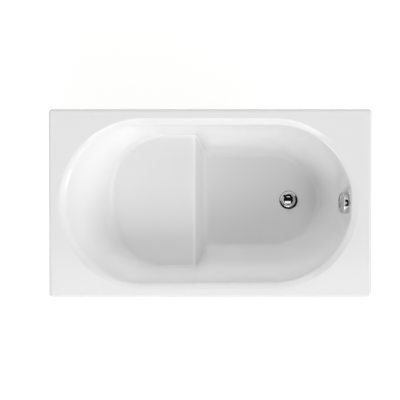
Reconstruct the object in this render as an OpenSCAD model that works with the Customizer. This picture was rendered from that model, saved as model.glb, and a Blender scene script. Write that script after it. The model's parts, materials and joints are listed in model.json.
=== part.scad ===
// Sit-in bathtub for building in: a vacuum-formed acrylic shell with a stepped
// seat, its laminate and boards, steel leg rails with screw feet, and a pop-up
// waste worked by a rotary overflow control through a cable.
// X runs along the tub from the seat end to the waste end, Y across it to the
// wall side, Z up. The origin is on the room floor under the middle of the rim.

/* [Rim] */
// Length of the rim
rim_l = 1200; // [1150:5:1300]
// Width of the rim
rim_w = 700; // [685:5:760]
// Height of the rim above the room floor
rim_h = 600; // [590:5:650]
// Radius of the rim's corners in plan
corner_r = 14; // [13:1:20]
// Radius of the rim's outer top edge
edge_r = 11; // [10:0.5:12]
// Height of the turned-down outer flange
flange_h = 35; // [25:1:45]

/* [Basin] */
// Width of the deck along the basin's sides
side_deck = 34; // [33:1:40]
// Width of the deck at the seat end
seat_deck = 35; // [33:1:45]
// Width of the deck at the waste end
waste_deck = 49; // [44:1:60]
// Height of the foot well's floor above the room floor
floor_h = 180; // [178:1:184]
// Depth of the seat below the rim
seat_depth = 250; // [220:5:280]
// Where the seat's front edge lies along the tub
seat_front_x = -58; // [-90:1:-30]
// Lean of the riser under the seat, from the vertical
riser_lean = 12; // [8:1:16]
// Radius of the seat's front edge
seat_nose_r = 15; // [12:1:20]
// Radius between the riser and the floor
riser_foot_r = 24; // [20:1:32]
// Radius between the side walls and the floor
floor_fillet_r = 20; // [16:1:24]
// Radius between the side walls and the seat
seat_fillet_r = 15; // [12:1:20]
// Radius between the backrest and the seat
back_fillet_r = 58; // [50:1:66]
// Width of the narrow sloping ledge inside the opening
ledge_w = 22; // [20:1:28]
// Slope of the ledge, in degrees
ledge_slope = 22; // [18:1:26]
// Radius where the deck turns into the ledge
lip_r = 10; // [9:1:12]
// Radius where the ledge turns into the side walls
shoulder_r = 10; // [9:1:14]
// Radius where the ledge turns into the backrest
back_shoulder_r = 60; // [40:1:64]
// Inward run of the walls beside the well per mm of depth, at their top
side_run = 0.15; // [0.13:0.002:0.17]
// Growth of that run per mm of depth
side_curve = 0.000283; // [0.00024:0.000005:0.00032]
// Inward run of the walls beside the seat per mm of depth
seat_side_run = 0.1465; // [0.13:0.0005:0.16]
// Inward run of the backrest per mm of depth
back_run = 0.62; // [0.56:0.01:0.68]
// Inward run of the waste end wall per mm of depth
end_run = 0.211; // [0.18:0.005:0.24]

/* [Laminate and boards] */
// Thickness of the acrylic sheet
acrylic_t = 4; // [3:0.5:4.5]
// Thickness of the glass fibre laminate behind it
laminate_t = 4; // [3:0.5:5]
// Thickness of the board under the foot well
base_board_t = 15; // [12:1:18]
// Thickness of the board under the seat
seat_board_t = 12; // [9:1:18]
// Margin that the boards keep from the end of the flat area
board_inset = 8; // [4:1:20]
// Width of the hole in the base board round the waste
board_hole_d = 92; // [86:1:100]
// Width of the battens under the deck
batten_w = 24; // [20:1:24]

/* [Leg rails] */
// Width of the rail tubes
rail_w = 40; // [34:1:44]
// Height of the rail tubes
rail_h = 30; // [26:1:34]
// Wall of the rail tubes and posts
rail_wall = 2; // [1.5:0.5:3]
// Length of the rail under the seat
seat_rail_l = 370; // [360:2:390]
// Place of the middle rail along the tub
mid_rail_x = 70; // [60:1:110]
// Distance of the end rail beyond the waste
end_rail_offset = 63; // [61:1:68]
// Place of the seat rail along the tub
seat_rail_x = -205; // [-230:1:-180]
// Width of the square posts that carry the seat rail
post_w = 30; // [26:1:34]

/* [Feet] */
// Radius of the threaded foot rods
rod_r = 5; // [4:0.5:5]
// Radial play of the rods in their nuts
thread_play = 0.05; // [0.03:0.01:0.08]
// Distance of a foot rod from the end of its rail
rod_from_end = 20; // [17:1:24]
// Smallest gap between the foot well's sides and the rods beside them
rod_gap = 8; // [6:1:10]
// Height of the rods' top ends above the room floor
rod_top = 186; // [184:1:188]
// Radius of the foot pads
pad_r = 25; // [20:1:30]
// Height of the foot pads
pad_h = 16; // [14:1:20]
// Across-flats size of the nuts on the rods
nut_af = 17; // [16:0.5:18]
// Height of those nuts
nut_h = 8; // [6:0.5:9]

/* [Wall brackets] */
// Width of a bracket along the rim
bracket_w = 60; // [55:1:80]
// Height of a bracket's wall plate
bracket_h = 45; // [42:1:60]
// Thickness of the bracket's steel
bracket_t = 2.5; // [2:0.5:3]
// Spacing of the two wall holes
bracket_pitch = 36; // [32:1:40]
// Diameter of the wall holes
bracket_hole_d = 7; // [5:0.5:8]
// Distance of the two rear brackets from the middle of the tub
bracket_x = 380; // [360:5:420]

/* [Waste] */
// Distance of the waste from the waste end of the rim
waste_setback = 281; // [279:1:284]
// Diameter of the holes for the waste and the overflow
hole_d = 52; // [51:0.5:54]
// Diameter of the waste's chrome flange
waste_flange_d = 75; // [72:1:78]
// Diameter of the plug's cap
plug_d = 56; // [52:1:60]
// Rise of the plug's crown
plug_crown = 4; // [2:0.5:6]
// Lift of the plug when it is open
plug_lift = 10; // [8:0.5:11]
// Radius of the plug's stem
stem_r = 4; // [3:0.5:4.5]
// Play round sliding and turning shafts
shaft_play = 0.05; // [0.03:0.01:0.08]
// Outer radius of the throats that screw into the plastic bodies
throat_r = 24.5; // [24:0.1:25]
// Wall of the throats
throat_wall = 2.5; // [2:0.5:3]
// Wall of the plastic bodies
body_wall = 3; // [2.5:0.5:3.5]
// Height of the hose branch above the room floor
branch_z = 107; // [104:1:108]
// Length of the hose branches from the middle of their bodies
branch_l = 58; // [56:1:62]
// Outer radius of the trap's drum
drum_r = 46; // [42:1:50]
// Outer radius of the trap's outlet, made for a 40 mm pipe socket
outlet_r = 20; // [20:0.5:25]
// Length of the outlet beyond the drum
outlet_l = 45; // [35:1:60]
// Length and rise of the collar that stops the pipe socket
outlet_collar = 4; // [3:0.5:6]
// Height of the outlet's axis above the room floor
outlet_z = 40; // [38:1:42]

/* [Overflow control] */
// Depth of the overflow's middle below the rim
overflow_depth = 66; // [65:1:72]
// Diameter of the control knob
knob_d = 80; // [76:1:82]
// Thickness of the control knob
knob_t = 17; // [14:1:19]
// Wall of the control knob
knob_wall = 3; // [2:0.5:4]
// Gap between the knob and the tub for the overflowing water
knob_gap = 4; // [3.5:0.5:5]
// Turn of the knob from shut to open, in degrees
knob_turn = 80; // [60:5:90]
// Outer radius of the overflow hose
hose_r = 13; // [12:0.5:14]
// Outer radius of the control cable's sheath
cable_r = 2.5; // [2:0.25:3]

/* [Hidden] */
$fn = 64;

// Levels and half sizes worked out from the sizes above
hl = rim_l / 2;
hw = rim_w / 2;
open_half_w = hw - side_deck;
open_seat_end = hl - seat_deck;
open_waste_end = hl - waste_deck;
seat_z = rim_h - seat_depth;
floor_z = floor_h;
waste_x = hl - waste_setback;
end_rail_x = waste_x + end_rail_offset;
shell_t = acrylic_t + laminate_t;
seat_arc_x = -(open_seat_end - open_half_w);
waste_arc_x = open_waste_end - open_half_w;
ledge_drop = ledge_w * tan(ledge_slope);

// Steps of the basin's mesh: per quarter of an end, per corner and per curve
quarter_steps = 10;
corner_steps = 4;
edge_steps = 2;
lip_steps = 1;
shoulder_steps = 3;
wall_steps = 2;
fillet_steps = 4;
nose_steps = 3;

// The basin's mesh is a ring of columns round the opening. A column holds its
// foot on the middle line, its outward direction, the level of the bottom that
// it meets, and the anchor and direction of its point on the rim's outline.
function foot(c) = c[0];
function out_dir(c) = c[1];
function level(c) = c[2];
function rim_anchor(c) = c[3];
function rim_dir(c) = c[4];

// Seat, riser and floor as a line of [x, z] points, t inside the material
nose_turn = 90 - riser_lean;
nose_run = seat_nose_r * tan(nose_turn / 2);
riser_foot_x = seat_front_x + (seat_z - floor_z) * tan(riser_lean);
riser_foot_run = riser_foot_r * tan(nose_turn / 2);
seat_end_x = seat_front_x - nose_run;
well_start_x = riser_foot_x + riser_foot_run;
function step_line(t) = concat(
    [[(seat_arc_x + seat_end_x) / 2, seat_z - t]],
    [for (i = [0:nose_steps]) let (a = nose_turn * i / nose_steps)
        [seat_end_x + (seat_nose_r - t) * sin(a),
         seat_z - seat_nose_r + (seat_nose_r - t) * cos(a)]],
    [for (i = [0:nose_steps]) let (a = nose_turn * (1 - i / nose_steps))
        [well_start_x - (riser_foot_r + t) * sin(a),
         floor_z + riser_foot_r - (riser_foot_r + t) * cos(a)]],
    [[(well_start_x + waste_arc_x) / 2, floor_z - t]]);

// One quarter of an end, from the side (k = 0) to the tip (k = quarter_steps)
corner_first = (quarter_steps - corner_steps) / 2;
corner_last = corner_first + corner_steps;
function quarter_anchor(k, cx) =
    let (far_x = hl - corner_r, far_y = hw - corner_r)
    k <= corner_first ? [abs(cx) + (far_x - abs(cx)) * k / corner_first, far_y]
    : k >= corner_last
        ? [far_x, far_y * (quarter_steps - k) / (quarter_steps - corner_last)]
        : [far_x, far_y];
function quarter_turn(k) =
    90 * max(0, min(1, (k - corner_first) / corner_steps));
function quarter_column(k, cx, sx, sy, z) =
    let (a = 90 * k / quarter_steps, b = quarter_turn(k), p = quarter_anchor(k, cx))
    [[cx, 0], [sx * sin(a), sy * cos(a)], z,
     [sx * p[0], sy * p[1]], [sx * sin(b), sy * cos(b)]];
function side_column(p, t, sy) =
    [[p[0], 0], [0, sy], p[1] + t, [p[0], sy * (hw - corner_r)], [0, sy]];

// All columns, clockwise from above, from the seat's end of the wall side
function columns(t) = let (line = step_line(t), n = len(line)) concat(
    [for (p = line) side_column(p, t, 1)],
    [for (k = [0:quarter_steps]) quarter_column(k, waste_arc_x, 1, 1, floor_z)],
    [for (k = [quarter_steps - 1:-1:0])
        quarter_column(k, waste_arc_x, 1, -1, floor_z)],
    [for (i = [n - 1:-1:0]) side_column(line[i], t, -1)],
    [for (k = [0:quarter_steps]) quarter_column(k, seat_arc_x, -1, -1, seat_z)],
    [for (k = [quarter_steps - 1:-1:0])
        quarter_column(k, seat_arc_x, -1, 1, seat_z)]);
side_count = len(step_line(0));
end_count = 2 * quarter_steps + 1;
column_count = 2 * (side_count + end_count);

// The wall is flat between the columns beside the waste end's tip, so that the
// overflow seats on it: the tip's column is drawn in by this ratio.
flat_ratio = cos(90 / quarter_steps);
tip_index = side_count + quarter_steps;

// Share of backrest and of waste end wall in a column, from its opening point
back_start_x = seat_arc_x + 60;
function open_x(c) = foot(c)[0] + open_half_w * out_dir(c)[0];
function back_share(c) =
    pow(max(0, (back_start_x - open_x(c)) / (back_start_x + open_seat_end)), 1.2);
function end_share(c) = let (reach = flat_ratio * (open_waste_end - waste_arc_x))
    pow(max(0, min(1, (open_x(c) - waste_arc_x) / reach)), 1.5);
function blend(side, back, end, c) =
    side + (back - side) * back_share(c) + (end - side) * end_share(c);

// Value for a side wall, passing from the seat's to the well's over the riser
function seat_share(c) = let (u = max(0, min(1,
    (well_start_x - foot(c)[0]) / (well_start_x - seat_end_x)))) u * u * (3 - 2 * u);
function beside(well, seat, c) = well + (seat - well) * seat_share(c);

// Depth below p0 at which the wall touches a fillet of radius r above level z
function touch_drop(z, r, p0, run, curve, drop, turns = 6) = turns == 0 ? drop
    : touch_drop(z, r, p0, run, curve,
        p0[1] - z - r + r * sin(atan(run + 2 * curve * drop)), turns - 1);

// A column's section as [inward distance, height] points, t inside the material
function section(c, t) = let (
    run = blend(beside(side_run, seat_side_run, c), back_run, end_run, c),
    curve = blend(beside(side_curve, 0, c), 0, 0, c),
    r_shoulder = blend(shoulder_r, back_shoulder_r, shoulder_r, c),
    r_fillet = blend(beside(floor_fillet_r, seat_fillet_r, c), back_fillet_r,
        floor_fillet_r, c),
    wall_slope = 90 - atan(run),
    lip_x = -lip_r * tan(ledge_slope / 2),
    reach = r_shoulder * tan((wall_slope - ledge_slope) / 2),
    corner = [ledge_w, rim_h - ledge_drop],
    start = corner - reach * [cos(ledge_slope), -sin(ledge_slope)],
    centre = start - r_shoulder * [sin(ledge_slope), cos(ledge_slope)],
    p0 = corner + reach * [cos(wall_slope), -sin(wall_slope)],
    drop = touch_drop(level(c), r_fillet, p0, run, curve, 0),
    touch_lean = atan(run + 2 * curve * drop),
    touch = p0 + [run * drop + curve * drop * drop, -drop],
    f_centre = touch + r_fillet * [cos(touch_lean), sin(touch_lean)])
    concat(
    [for (i = [0:lip_steps]) let (a = ledge_slope * i / lip_steps)
        [lip_x + (lip_r - t) * sin(a), rim_h - lip_r + (lip_r - t) * cos(a)]],
    [for (i = [0:shoulder_steps])
        let (a = ledge_slope + (wall_slope - ledge_slope) * i / shoulder_steps)
        centre + (r_shoulder - t) * [sin(a), cos(a)]],
    [for (i = [1:wall_steps]) let (d = drop * i / (wall_steps + 1),
        lean = atan(run + 2 * curve * d))
        p0 + [run * d + curve * d * d, -d] - t * [cos(lean), sin(lean)]],
    [for (i = [0:fillet_steps])
        let (a = (90 - touch_lean) * (1 - i / fillet_steps))
        f_centre - (r_fillet + t) * [sin(a), cos(a)]]);

// Mesh rows, from the flange's lower edge over the rim and down to the bottom
function rim_point(c, inset, z) =
    let (p = rim_anchor(c) + (corner_r - inset) * rim_dir(c)) [p[0], p[1], z];
function rim_rows(cols, t) = concat(
    [[for (c = cols) rim_point(c, t, rim_h - flange_h)]],
    [for (i = [edge_steps:-1:0]) let (a = 90 * i / edge_steps)
        [for (c = cols) rim_point(c, edge_r - (edge_r - t) * sin(a),
            rim_h - edge_r + (edge_r - t) * cos(a))]]);
function basin_rows(cols, t) = let (sections = [for (c = cols) section(c, t)])
    [for (row = [0:len(sections[0]) - 1]) [for (i = [0:len(cols) - 1])
        let (s = sections[i][row], flat = i == tip_index && row > lip_steps,
            p = foot(cols[i]) + (flat ? flat_ratio : 1)
            * (open_half_w - s[0]) * out_dir(cols[i])) [p[0], p[1], s[1]]]];
function skin_rows(t) =
    let (cols = columns(t)) concat(rim_rows(cols, t), basin_rows(cols, t));

// Faces of one skin of the mesh, and its bottom as strips across the tub
function join_row(a, b, n) = [for (i = [0:n - 1]) let (j = (i + 1) % n)
    each [[a + i, b + j, b + i], [a + i, a + j, b + j]]];
function mirror_of(i) = 2 * side_count + end_count - 1 - i;
function bottom_faces(s) = let (n = column_count, w = side_count + end_count)
    concat(
    [for (i = [0:side_count - 2])
        [s + i, s + i + 1, s + mirror_of(i + 1), s + mirror_of(i)]],
    [[s + side_count - 1, s + side_count, s + w - 1, s + w]],
    [[for (i = [side_count:w - 1]) s + i]],
    [[s + n - 1, s + 0, s + mirror_of(0), s + mirror_of(0) + 1]],
    [[for (i = [w + side_count:n - 1]) s + i]]);
function flip(faces) = [for (f = faces) [for (i = [len(f) - 1:-1:0]) f[i]]];
function skin_faces(s, rows) = concat(
    [for (r = [0:rows - 2])
        each join_row(s + r * column_count, s + (r + 1) * column_count, column_count)],
    bottom_faces(s + (rows - 1) * column_count));

// Layer of the tub between the depths t0 and t1 behind its visible surface
module tub_layer(t0, t1) {
    upper = skin_rows(t0);
    lower = skin_rows(t1);
    rows = len(upper);
    second = rows * column_count;
    polyhedron(points = [for (r = concat(upper, lower)) each r],
        faces = concat(skin_faces(0, rows), flip(skin_faces(second, rows)),
            flip(join_row(0, second, column_count))), convexity = 12);
}

// Outline of the flat bottom from x0 to x1, less a margin
function flat_edge(t, x0, x1, margin) = let (rows = skin_rows(t),
    last = rows[len(rows) - 1])
    [for (i = [0:column_count - 1]) let (p = last[i], c = columns(t)[i])
        if (foot(c)[0] >= x0 && foot(c)[0] <= x1)
            [p[0], p[1]] - margin * out_dir(c)];

// Frame of the overflow on the flat of the waste end wall, z pointing into the tub
flat_lean = atan(end_run * flat_ratio);
end_wall_x = waste_arc_x + flat_ratio * (open_half_w - ledge_w
    - end_run * (overflow_depth - ledge_drop));
module at_overflow() {
    translate([end_wall_x, 0, rim_h - overflow_depth])
        rotate([0, flat_lean - 90, 0]) children();
}
module at_waste() {
    translate([waste_x, 0, 0]) children();
}

// Straight ring or tube along z
module ring(r_out, r_in, z0, z1) {
    translate([0, 0, z0]) difference() {
        cylinder(r = r_out, h = z1 - z0);
        translate([0, 0, -1]) cylinder(r = r_in, h = z1 - z0 + 2);
    }
}

// Shell and laminate
module tub_holes() {
    at_waste() translate([0, 0, floor_z - 30]) cylinder(d = hole_d, h = 60);
    at_overflow() translate([0, 0, -30]) cylinder(d = hole_d, h = 60);
}
module acrylic_shell() {
    color("white") difference() {
        tub_layer(0, acrylic_t);
        tub_holes();
    }
}
module fibreglass_backing() {
    color("lightyellow") difference() {
        tub_layer(acrylic_t, shell_t);
        tub_holes();
    }
}

// Boards under the floor and the seat
base_board_z = floor_z - shell_t - base_board_t;
seat_board_z = seat_z - shell_t - seat_board_t;
module base_board() {
    color("burlywood") difference() {
        translate([0, 0, base_board_z]) linear_extrude(base_board_t)
            polygon(flat_edge(shell_t, well_start_x, hl, board_inset));
        at_waste() translate([0, 0, base_board_z - 1])
            cylinder(d = board_hole_d, h = base_board_t + 2);
        rail_screw_holes(mid_rail_x, base_board_z, well_screw_y);
        rail_screw_holes(end_rail_x, base_board_z, well_screw_y);
    }
}
module seat_board() {
    color("burlywood") difference() {
        translate([0, 0, seat_board_z]) linear_extrude(seat_board_t)
            hull() polygon(flat_edge(shell_t, -hl, seat_end_x, board_inset));
        rail_screw_holes(seat_rail_x, seat_board_z, seat_screw_y);
    }
}

// Battens under the deck, flush with the lower edge of the flange
batten_h = flange_h - shell_t;
batten_z = rim_h - flange_h;
batten_gap = 0.3;
batten_chamfer = edge_r - shell_t + 1;
batten_ease = 1.5;
long_batten_l = 2 * (hl - shell_t - batten_w - batten_gap);
end_batten_l = 2 * (hw - shell_t - corner_r);
module batten(d, l, turn) {
    color("burlywood") difference() {
        rotate([0, 0, turn]) translate([-l / 2, -d, batten_z]) rotate([90, 0, 90])
            linear_extrude(l) polygon([[0, 0], [batten_w, 0], [batten_w, batten_h - batten_ease],
                [batten_w - batten_ease, batten_h], [batten_chamfer, batten_h],
                [0, batten_h - batten_chamfer]]);
        bracket_screw_holes();
    }
}
module batten_front() { batten(hw - shell_t, long_batten_l, 0); }
module batten_rear() { batten(hw - shell_t, long_batten_l, 180); }
module batten_seat_end() { batten(hl - shell_t, end_batten_l, -90); }
module batten_waste_end() { batten(hl - shell_t, end_batten_l, 90); }

// Rails: rectangular tubes screwed to the boards through access holes. Those under
// the foot well reach out past its sides to the rods, in whole steps.
well_rail_z = base_board_z - rail_h;
seat_rail_z = seat_board_z - rail_h;
rod_step = 5;
well_wall_drop = rim_h - ledge_drop - rod_top;
well_half_w = open_half_w - ledge_w + shell_t
    - side_run * well_wall_drop - side_curve * well_wall_drop * well_wall_drop;
well_rod_y = rod_step * ceil((well_half_w + rod_gap + rod_r) / rod_step);
well_rail_l = 2 * (well_rod_y + rod_from_end);
seat_rod_y = seat_rail_l / 2 - rod_from_end;
screw_r = 2.5;
screw_head_r = 5;
screw_head_h = 3;
screw_grip = 9;
access_r = 6.5;
rod_hole_r = rod_r + 0.5;
well_screw_y = [-60, 60];
seat_screw_y = [-150, -50, 50, 150];
module rail_screw_holes(x, z, ys) {
    for (y = ys) translate([x, y, z - 1]) cylinder(r = screw_r, h = screw_grip + 1);
}
module rail(x, z, l, ys) {
    color("silver") difference() {
        translate([x - rail_w / 2, -l / 2, z]) cube([rail_w, l, rail_h]);
        translate([x - rail_w / 2 + rail_wall, -l / 2 - 1, z + rail_wall])
            cube([rail_w - 2 * rail_wall, l + 2, rail_h - 2 * rail_wall]);
        for (y = ys) translate([x, y, z]) {
            translate([0, 0, -1]) cylinder(r = access_r, h = rail_wall + 2);
            cylinder(r = screw_r, h = rail_h + 1);
        }
    }
}
module well_rail(x) {
    difference() {
        rail(x, well_rail_z, well_rail_l, well_screw_y);
        for (sy = [-1, 1]) translate([x, sy * well_rod_y, well_rail_z - 1])
            cylinder(r = rod_hole_r, h = rail_h + 2);
    }
}
module mid_rail() { well_rail(mid_rail_x); }
module end_rail() { well_rail(end_rail_x); }
module seat_rail() { rail(seat_rail_x, seat_rail_z, seat_rail_l, seat_screw_y); }
module seat_post(sy) {
    color("silver")
    translate([seat_rail_x, sy * seat_rod_y, well_rail_z]) difference() {
        translate([-post_w / 2, -post_w / 2, 0])
            cube([post_w, post_w, seat_rail_z - well_rail_z]);
        translate([-post_w / 2 + rail_wall, -post_w / 2 + rail_wall, -1])
            cube([post_w - 2 * rail_wall, post_w - 2 * rail_wall,
                seat_rail_z - well_rail_z + 2]);
    }
}
module seat_post_front() { seat_post(-1); }
module seat_post_rear() { seat_post(1); }

// Threaded plugs in the lower ends of the posts
insert_h = 18;
insert_lip = 2;
module post_inserts() {
    inner = post_w - 2 * rail_wall;
    color("dimgray") for (sy = [-1, 1])
        translate([seat_rail_x, sy * seat_rod_y, well_rail_z]) difference() {
            union() {
                translate([-inner / 2, -inner / 2, 0]) cube([inner, inner, insert_h]);
                translate([-post_w / 2, -post_w / 2, -insert_lip])
                    cube([post_w, post_w, insert_lip]);
            }
            translate([0, 0, -insert_lip - 1])
                cylinder(r = rod_r + thread_play, h = insert_h + insert_lip + 2);
        }
}

// Wood screws that hold the rails
module rail_screw(x, y, z) {
    translate([x, y, z + rail_h]) {
        cylinder(r = screw_r, h = screw_grip);
        translate([0, 0, -rail_wall]) cylinder(r = screw_r, h = rail_wall);
        translate([0, 0, -rail_wall - screw_head_h])
            cylinder(r = screw_head_r, h = screw_head_h);
    }
}
module rail_screws() {
    color("silver") {
        for (x = [mid_rail_x, end_rail_x]) for (y = well_screw_y)
            rail_screw(x, y, well_rail_z);
        for (y = seat_screw_y) rail_screw(seat_rail_x, y, seat_rail_z);
    }
}

// Plastic caps in the ends of the rails
cap_t = 3;
cap_plug = 10;
module rail_cap(x, z, l, sy) {
    inner_w = rail_w - 2 * rail_wall;
    inner_h = rail_h - 2 * rail_wall;
    translate([x, sy * l / 2, z]) {
        translate([-rail_w / 2, sy > 0 ? 0 : -cap_t, 0]) cube([rail_w, cap_t, rail_h]);
        translate([-inner_w / 2, sy > 0 ? -cap_plug : 0, rail_wall])
            cube([inner_w, cap_plug, inner_h]);
    }
}
module rail_end_caps() {
    color("dimgray") for (sy = [-1, 1]) {
        for (x = [mid_rail_x, end_rail_x]) rail_cap(x, well_rail_z, well_rail_l, sy);
        rail_cap(seat_rail_x, seat_rail_z, seat_rail_l, sy);
    }
}

// Screw feet
function foot_x(i) = [seat_rail_x, mid_rail_x, end_rail_x][i];
function foot_y(i) = i == 0 ? seat_rod_y : well_rod_y;
module foot_nut() {
    difference() {
        cylinder(d = nut_af / cos(30), h = nut_h, $fn = 6);
        translate([0, 0, -1]) cylinder(r = rod_r + thread_play, h = nut_h + 2);
    }
}
module foot_nuts() {
    color("silver") for (i = [0:2]) for (sy = [-1, 1])
        translate([foot_x(i), sy * foot_y(i), 0]) {
            translate([0, 0, well_rail_z - nut_h - (i == 0 ? insert_lip : 0)]) foot_nut();
            if (i > 0) translate([0, 0, well_rail_z + rail_h]) foot_nut();
        }
}
socket_z = 6;
module foot_rod(i, sy) {
    color("silver") translate([foot_x(i), sy * foot_y(i), socket_z])
        cylinder(r = rod_r, h = rod_top - socket_z);
}
module foot_pad(i, sy) {
    color("dimgray") translate([foot_x(i), sy * foot_y(i), 0])
        rotate_extrude() polygon([[0, 0], [pad_r - 2, 0], [pad_r, 2], [pad_r, 5],
            [pad_r - 8, pad_h - 6], [rod_r + 4, pad_h - 5], [rod_r + 4, pad_h],
            [rod_r, pad_h], [rod_r, socket_z], [0, socket_z]]);
}
module foot_rod_seat_front() { foot_rod(0, -1); }
module foot_rod_seat_rear() { foot_rod(0, 1); }
module foot_rod_mid_front() { foot_rod(1, -1); }
module foot_rod_mid_rear() { foot_rod(1, 1); }
module foot_rod_end_front() { foot_rod(2, -1); }
module foot_rod_end_rear() { foot_rod(2, 1); }
module foot_pad_seat_front() { foot_pad(0, -1); }
module foot_pad_seat_rear() { foot_pad(0, 1); }
module foot_pad_mid_front() { foot_pad(1, -1); }
module foot_pad_mid_rear() { foot_pad(1, 1); }
module foot_pad_end_front() { foot_pad(2, -1); }
module foot_pad_end_rear() { foot_pad(2, 1); }

// Steel angles under the battens, two on the wall side and one at each end.
// In a bracket's own frame y = 0 is the wall and x runs along it.
bracket_leg = shell_t + batten_w - 2;
bracket_screw_pitch = 30;
bracket_screw_l = 16;
module at_brackets() {
    for (x = [-bracket_x, bracket_x]) translate([x, hw, batten_z]) children();
    translate([-hl, 0, batten_z]) rotate([0, 0, 90]) children();
    translate([hl, 0, batten_z]) rotate([0, 0, -90]) children();
}
module bracket_screw_holes() {
    at_brackets() for (x = [-1, 1])
        translate([x * bracket_screw_pitch / 2, -bracket_leg / 2 - shell_t / 2, -5])
            cylinder(r = screw_r, h = 5 + bracket_screw_l);
}
bracket_chamfer = 5;
module bracket_plate(l) {
    w = bracket_w / 2;
    linear_extrude(bracket_t) polygon([[-w, 0], [w, 0], [w, l - bracket_chamfer],
        [w - bracket_chamfer, l], [bracket_chamfer - w, l], [-w, l - bracket_chamfer]]);
}
module wall_brackets() {
    color("silver") difference() {
        at_brackets() difference() {
            union() {
                translate([0, 0, -bracket_t]) rotate([0, 0, 180])
                    bracket_plate(bracket_leg);
                translate([0, -bracket_t, 0]) rotate([-90, 0, 0])
                    bracket_plate(bracket_h);
            }
            for (x = [-1, 1]) translate([x * bracket_pitch / 2, 1, -bracket_h * 0.6])
                rotate([90, 0, 0]) cylinder(d = bracket_hole_d, h = bracket_t + 2);
        }
        bracket_screw_holes();
    }
}
module bracket_screws() {
    color("silver") at_brackets() for (x = [-1, 1])
        translate([x * bracket_screw_pitch / 2, -bracket_leg / 2 - shell_t / 2, 0]) {
            translate([0, 0, -bracket_t]) cylinder(r = screw_r, h = bracket_t + bracket_screw_l);
            translate([0, 0, -bracket_t - screw_head_h])
                cylinder(r = screw_head_r, h = screw_head_h);
        }
}

// Waste: levels inside the pop-up body
seal_t = 2;
clamp_seal_t = 3;
throat_l = 37;
body_top = floor_z - shell_t - clamp_seal_t;
sleeve_end = body_top - 27;
chamber_r = 27;
neck_r = 20.5;
neck_end = branch_z - 33;
funnel_z = branch_z - 19;
funnel_h = 8;
plug_r = plug_d / 2;
plug_gap = 0.3;
seat_level = floor_z + 3;
hub_r = 8;
arm_w = 3;

// Three arms that carry a guide for a shaft, inside a throat
module guide(r, h) {
    difference() {
        union() {
            cylinder(r = hub_r, h = h);
            for (a = [0:120:240]) rotate([0, 0, a])
                translate([0, -arm_w / 2, 0]) cube([r, arm_w, h]);
        }
        translate([0, 0, -1]) cylinder(r = stem_r + shaft_play, h = h + 2);
    }
}
module waste_flange() {
    r = waste_flange_d / 2;
    inner = throat_r - throat_wall;
    color("gainsboro") at_waste() {
        translate([0, 0, floor_z]) rotate_extrude() polygon([[inner, seal_t - throat_l],
            [throat_r, seal_t - throat_l], [throat_r, seal_t], [r - 3, seal_t], [r - 3, 0],
            [r, 0], [r, 2.5], [r - 1.5, 4.5], [r - 4, 4.5], [plug_r + 1, 3], [inner, 3]]);
        translate([0, 0, floor_z - 24]) guide(inner + throat_wall / 2, 10);
    }
}
module waste_top_seal() {
    color("dimgray") at_waste() ring(waste_flange_d / 2 - 3.5, hole_d / 2 - 0.5,
        floor_z, floor_z + seal_t);
}
module waste_bottom_seal() {
    color("dimgray") at_waste() ring(hole_d / 2 + 10, hole_d / 2 + 0.5, body_top,
        body_top + clamp_seal_t);
}

// The lifting lever turns on its own shaft, which passes out of the chamber
// into a side box where the cable's wire pulls its crank.
pivot_dx = -19;
pivot_z = 124;
lever_l = -pivot_dx;
lever_half_turn = asin(plug_lift / 2 / lever_l);
lever_tip_r = 3;
lever_root_r = 5;
lever_shaft_r = 3;
crank_l = 11;
crank_z = pivot_z - crank_l;
crank_y = 38;
box_half_w = 17;
box_y0 = 16;
box_y1 = 46;
box_wall = 2.5;
box_top = pivot_z + 12;
box_bottom = crank_z - 6;
gland_r = 5;
gland_l = 8;
module waste_body() {
    outer_r = chamber_r + body_wall;
    color("dimgray") at_waste() difference() {
        union() {
            rotate_extrude() polygon([[0, neck_end], [neck_r, neck_end],
                [neck_r, funnel_z], [outer_r, funnel_z + funnel_h],
                [outer_r, body_top - 8], [hole_d / 2 + 10, body_top - 4],
                [hole_d / 2 + 10, body_top], [0, body_top]]);
            translate([0, 0, branch_z]) rotate([0, 90, 0])
                cylinder(r = hose_r, h = branch_l);
            translate([pivot_dx - box_half_w, box_y0, box_bottom])
                cube([2 * box_half_w, box_y1 - box_y0, box_top - box_bottom]);
            translate([pivot_dx + box_half_w - 1, crank_y, crank_z]) rotate([0, 90, 0])
                cylinder(r = gland_r, h = gland_l + 1);
        }
        rotate_extrude() polygon([[0, neck_end - 1], [neck_r - body_wall, neck_end - 1],
            [neck_r - body_wall, funnel_z - 1], [chamber_r, funnel_z + funnel_h - 1],
            [chamber_r, sleeve_end - 3],
            [throat_r + shaft_play, sleeve_end], [throat_r + shaft_play, body_top + 1],
            [0, body_top + 1]]);
        translate([0, 0, branch_z]) rotate([0, 90, 0])
            cylinder(r = hose_r - body_wall, h = branch_l + 1);
        translate([pivot_dx - box_half_w + box_wall, box_y0 + 15, box_bottom + box_wall])
            cube([2 * (box_half_w - box_wall), box_y1 - box_y0,
                box_top - box_bottom - 2 * box_wall]);
        translate([pivot_dx, 0, pivot_z]) rotate([-90, 0, 0])
            cylinder(r = lever_shaft_r + shaft_play, h = box_y0 + 16);
        translate([pivot_dx, crank_y, crank_z]) rotate([0, 90, 0])
            cylinder(r = cable_r - 1, h = box_half_w + gland_l + 1);
    }
}
module lever_cover() {
    color("dimgray") at_waste() translate([pivot_dx - box_half_w, box_y1, box_bottom])
        cube([2 * box_half_w, box_wall, box_top - box_bottom]);
}
module lever_arm(l, turn, w, y) {
    translate([0, y, 0]) rotate([90, 0, 0]) linear_extrude(w) rotate(turn) hull() {
        circle(r = lever_root_r, $fn = 32);
        translate([l, 0]) circle(r = lever_tip_r, $fn = 32);
    }
}
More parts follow.
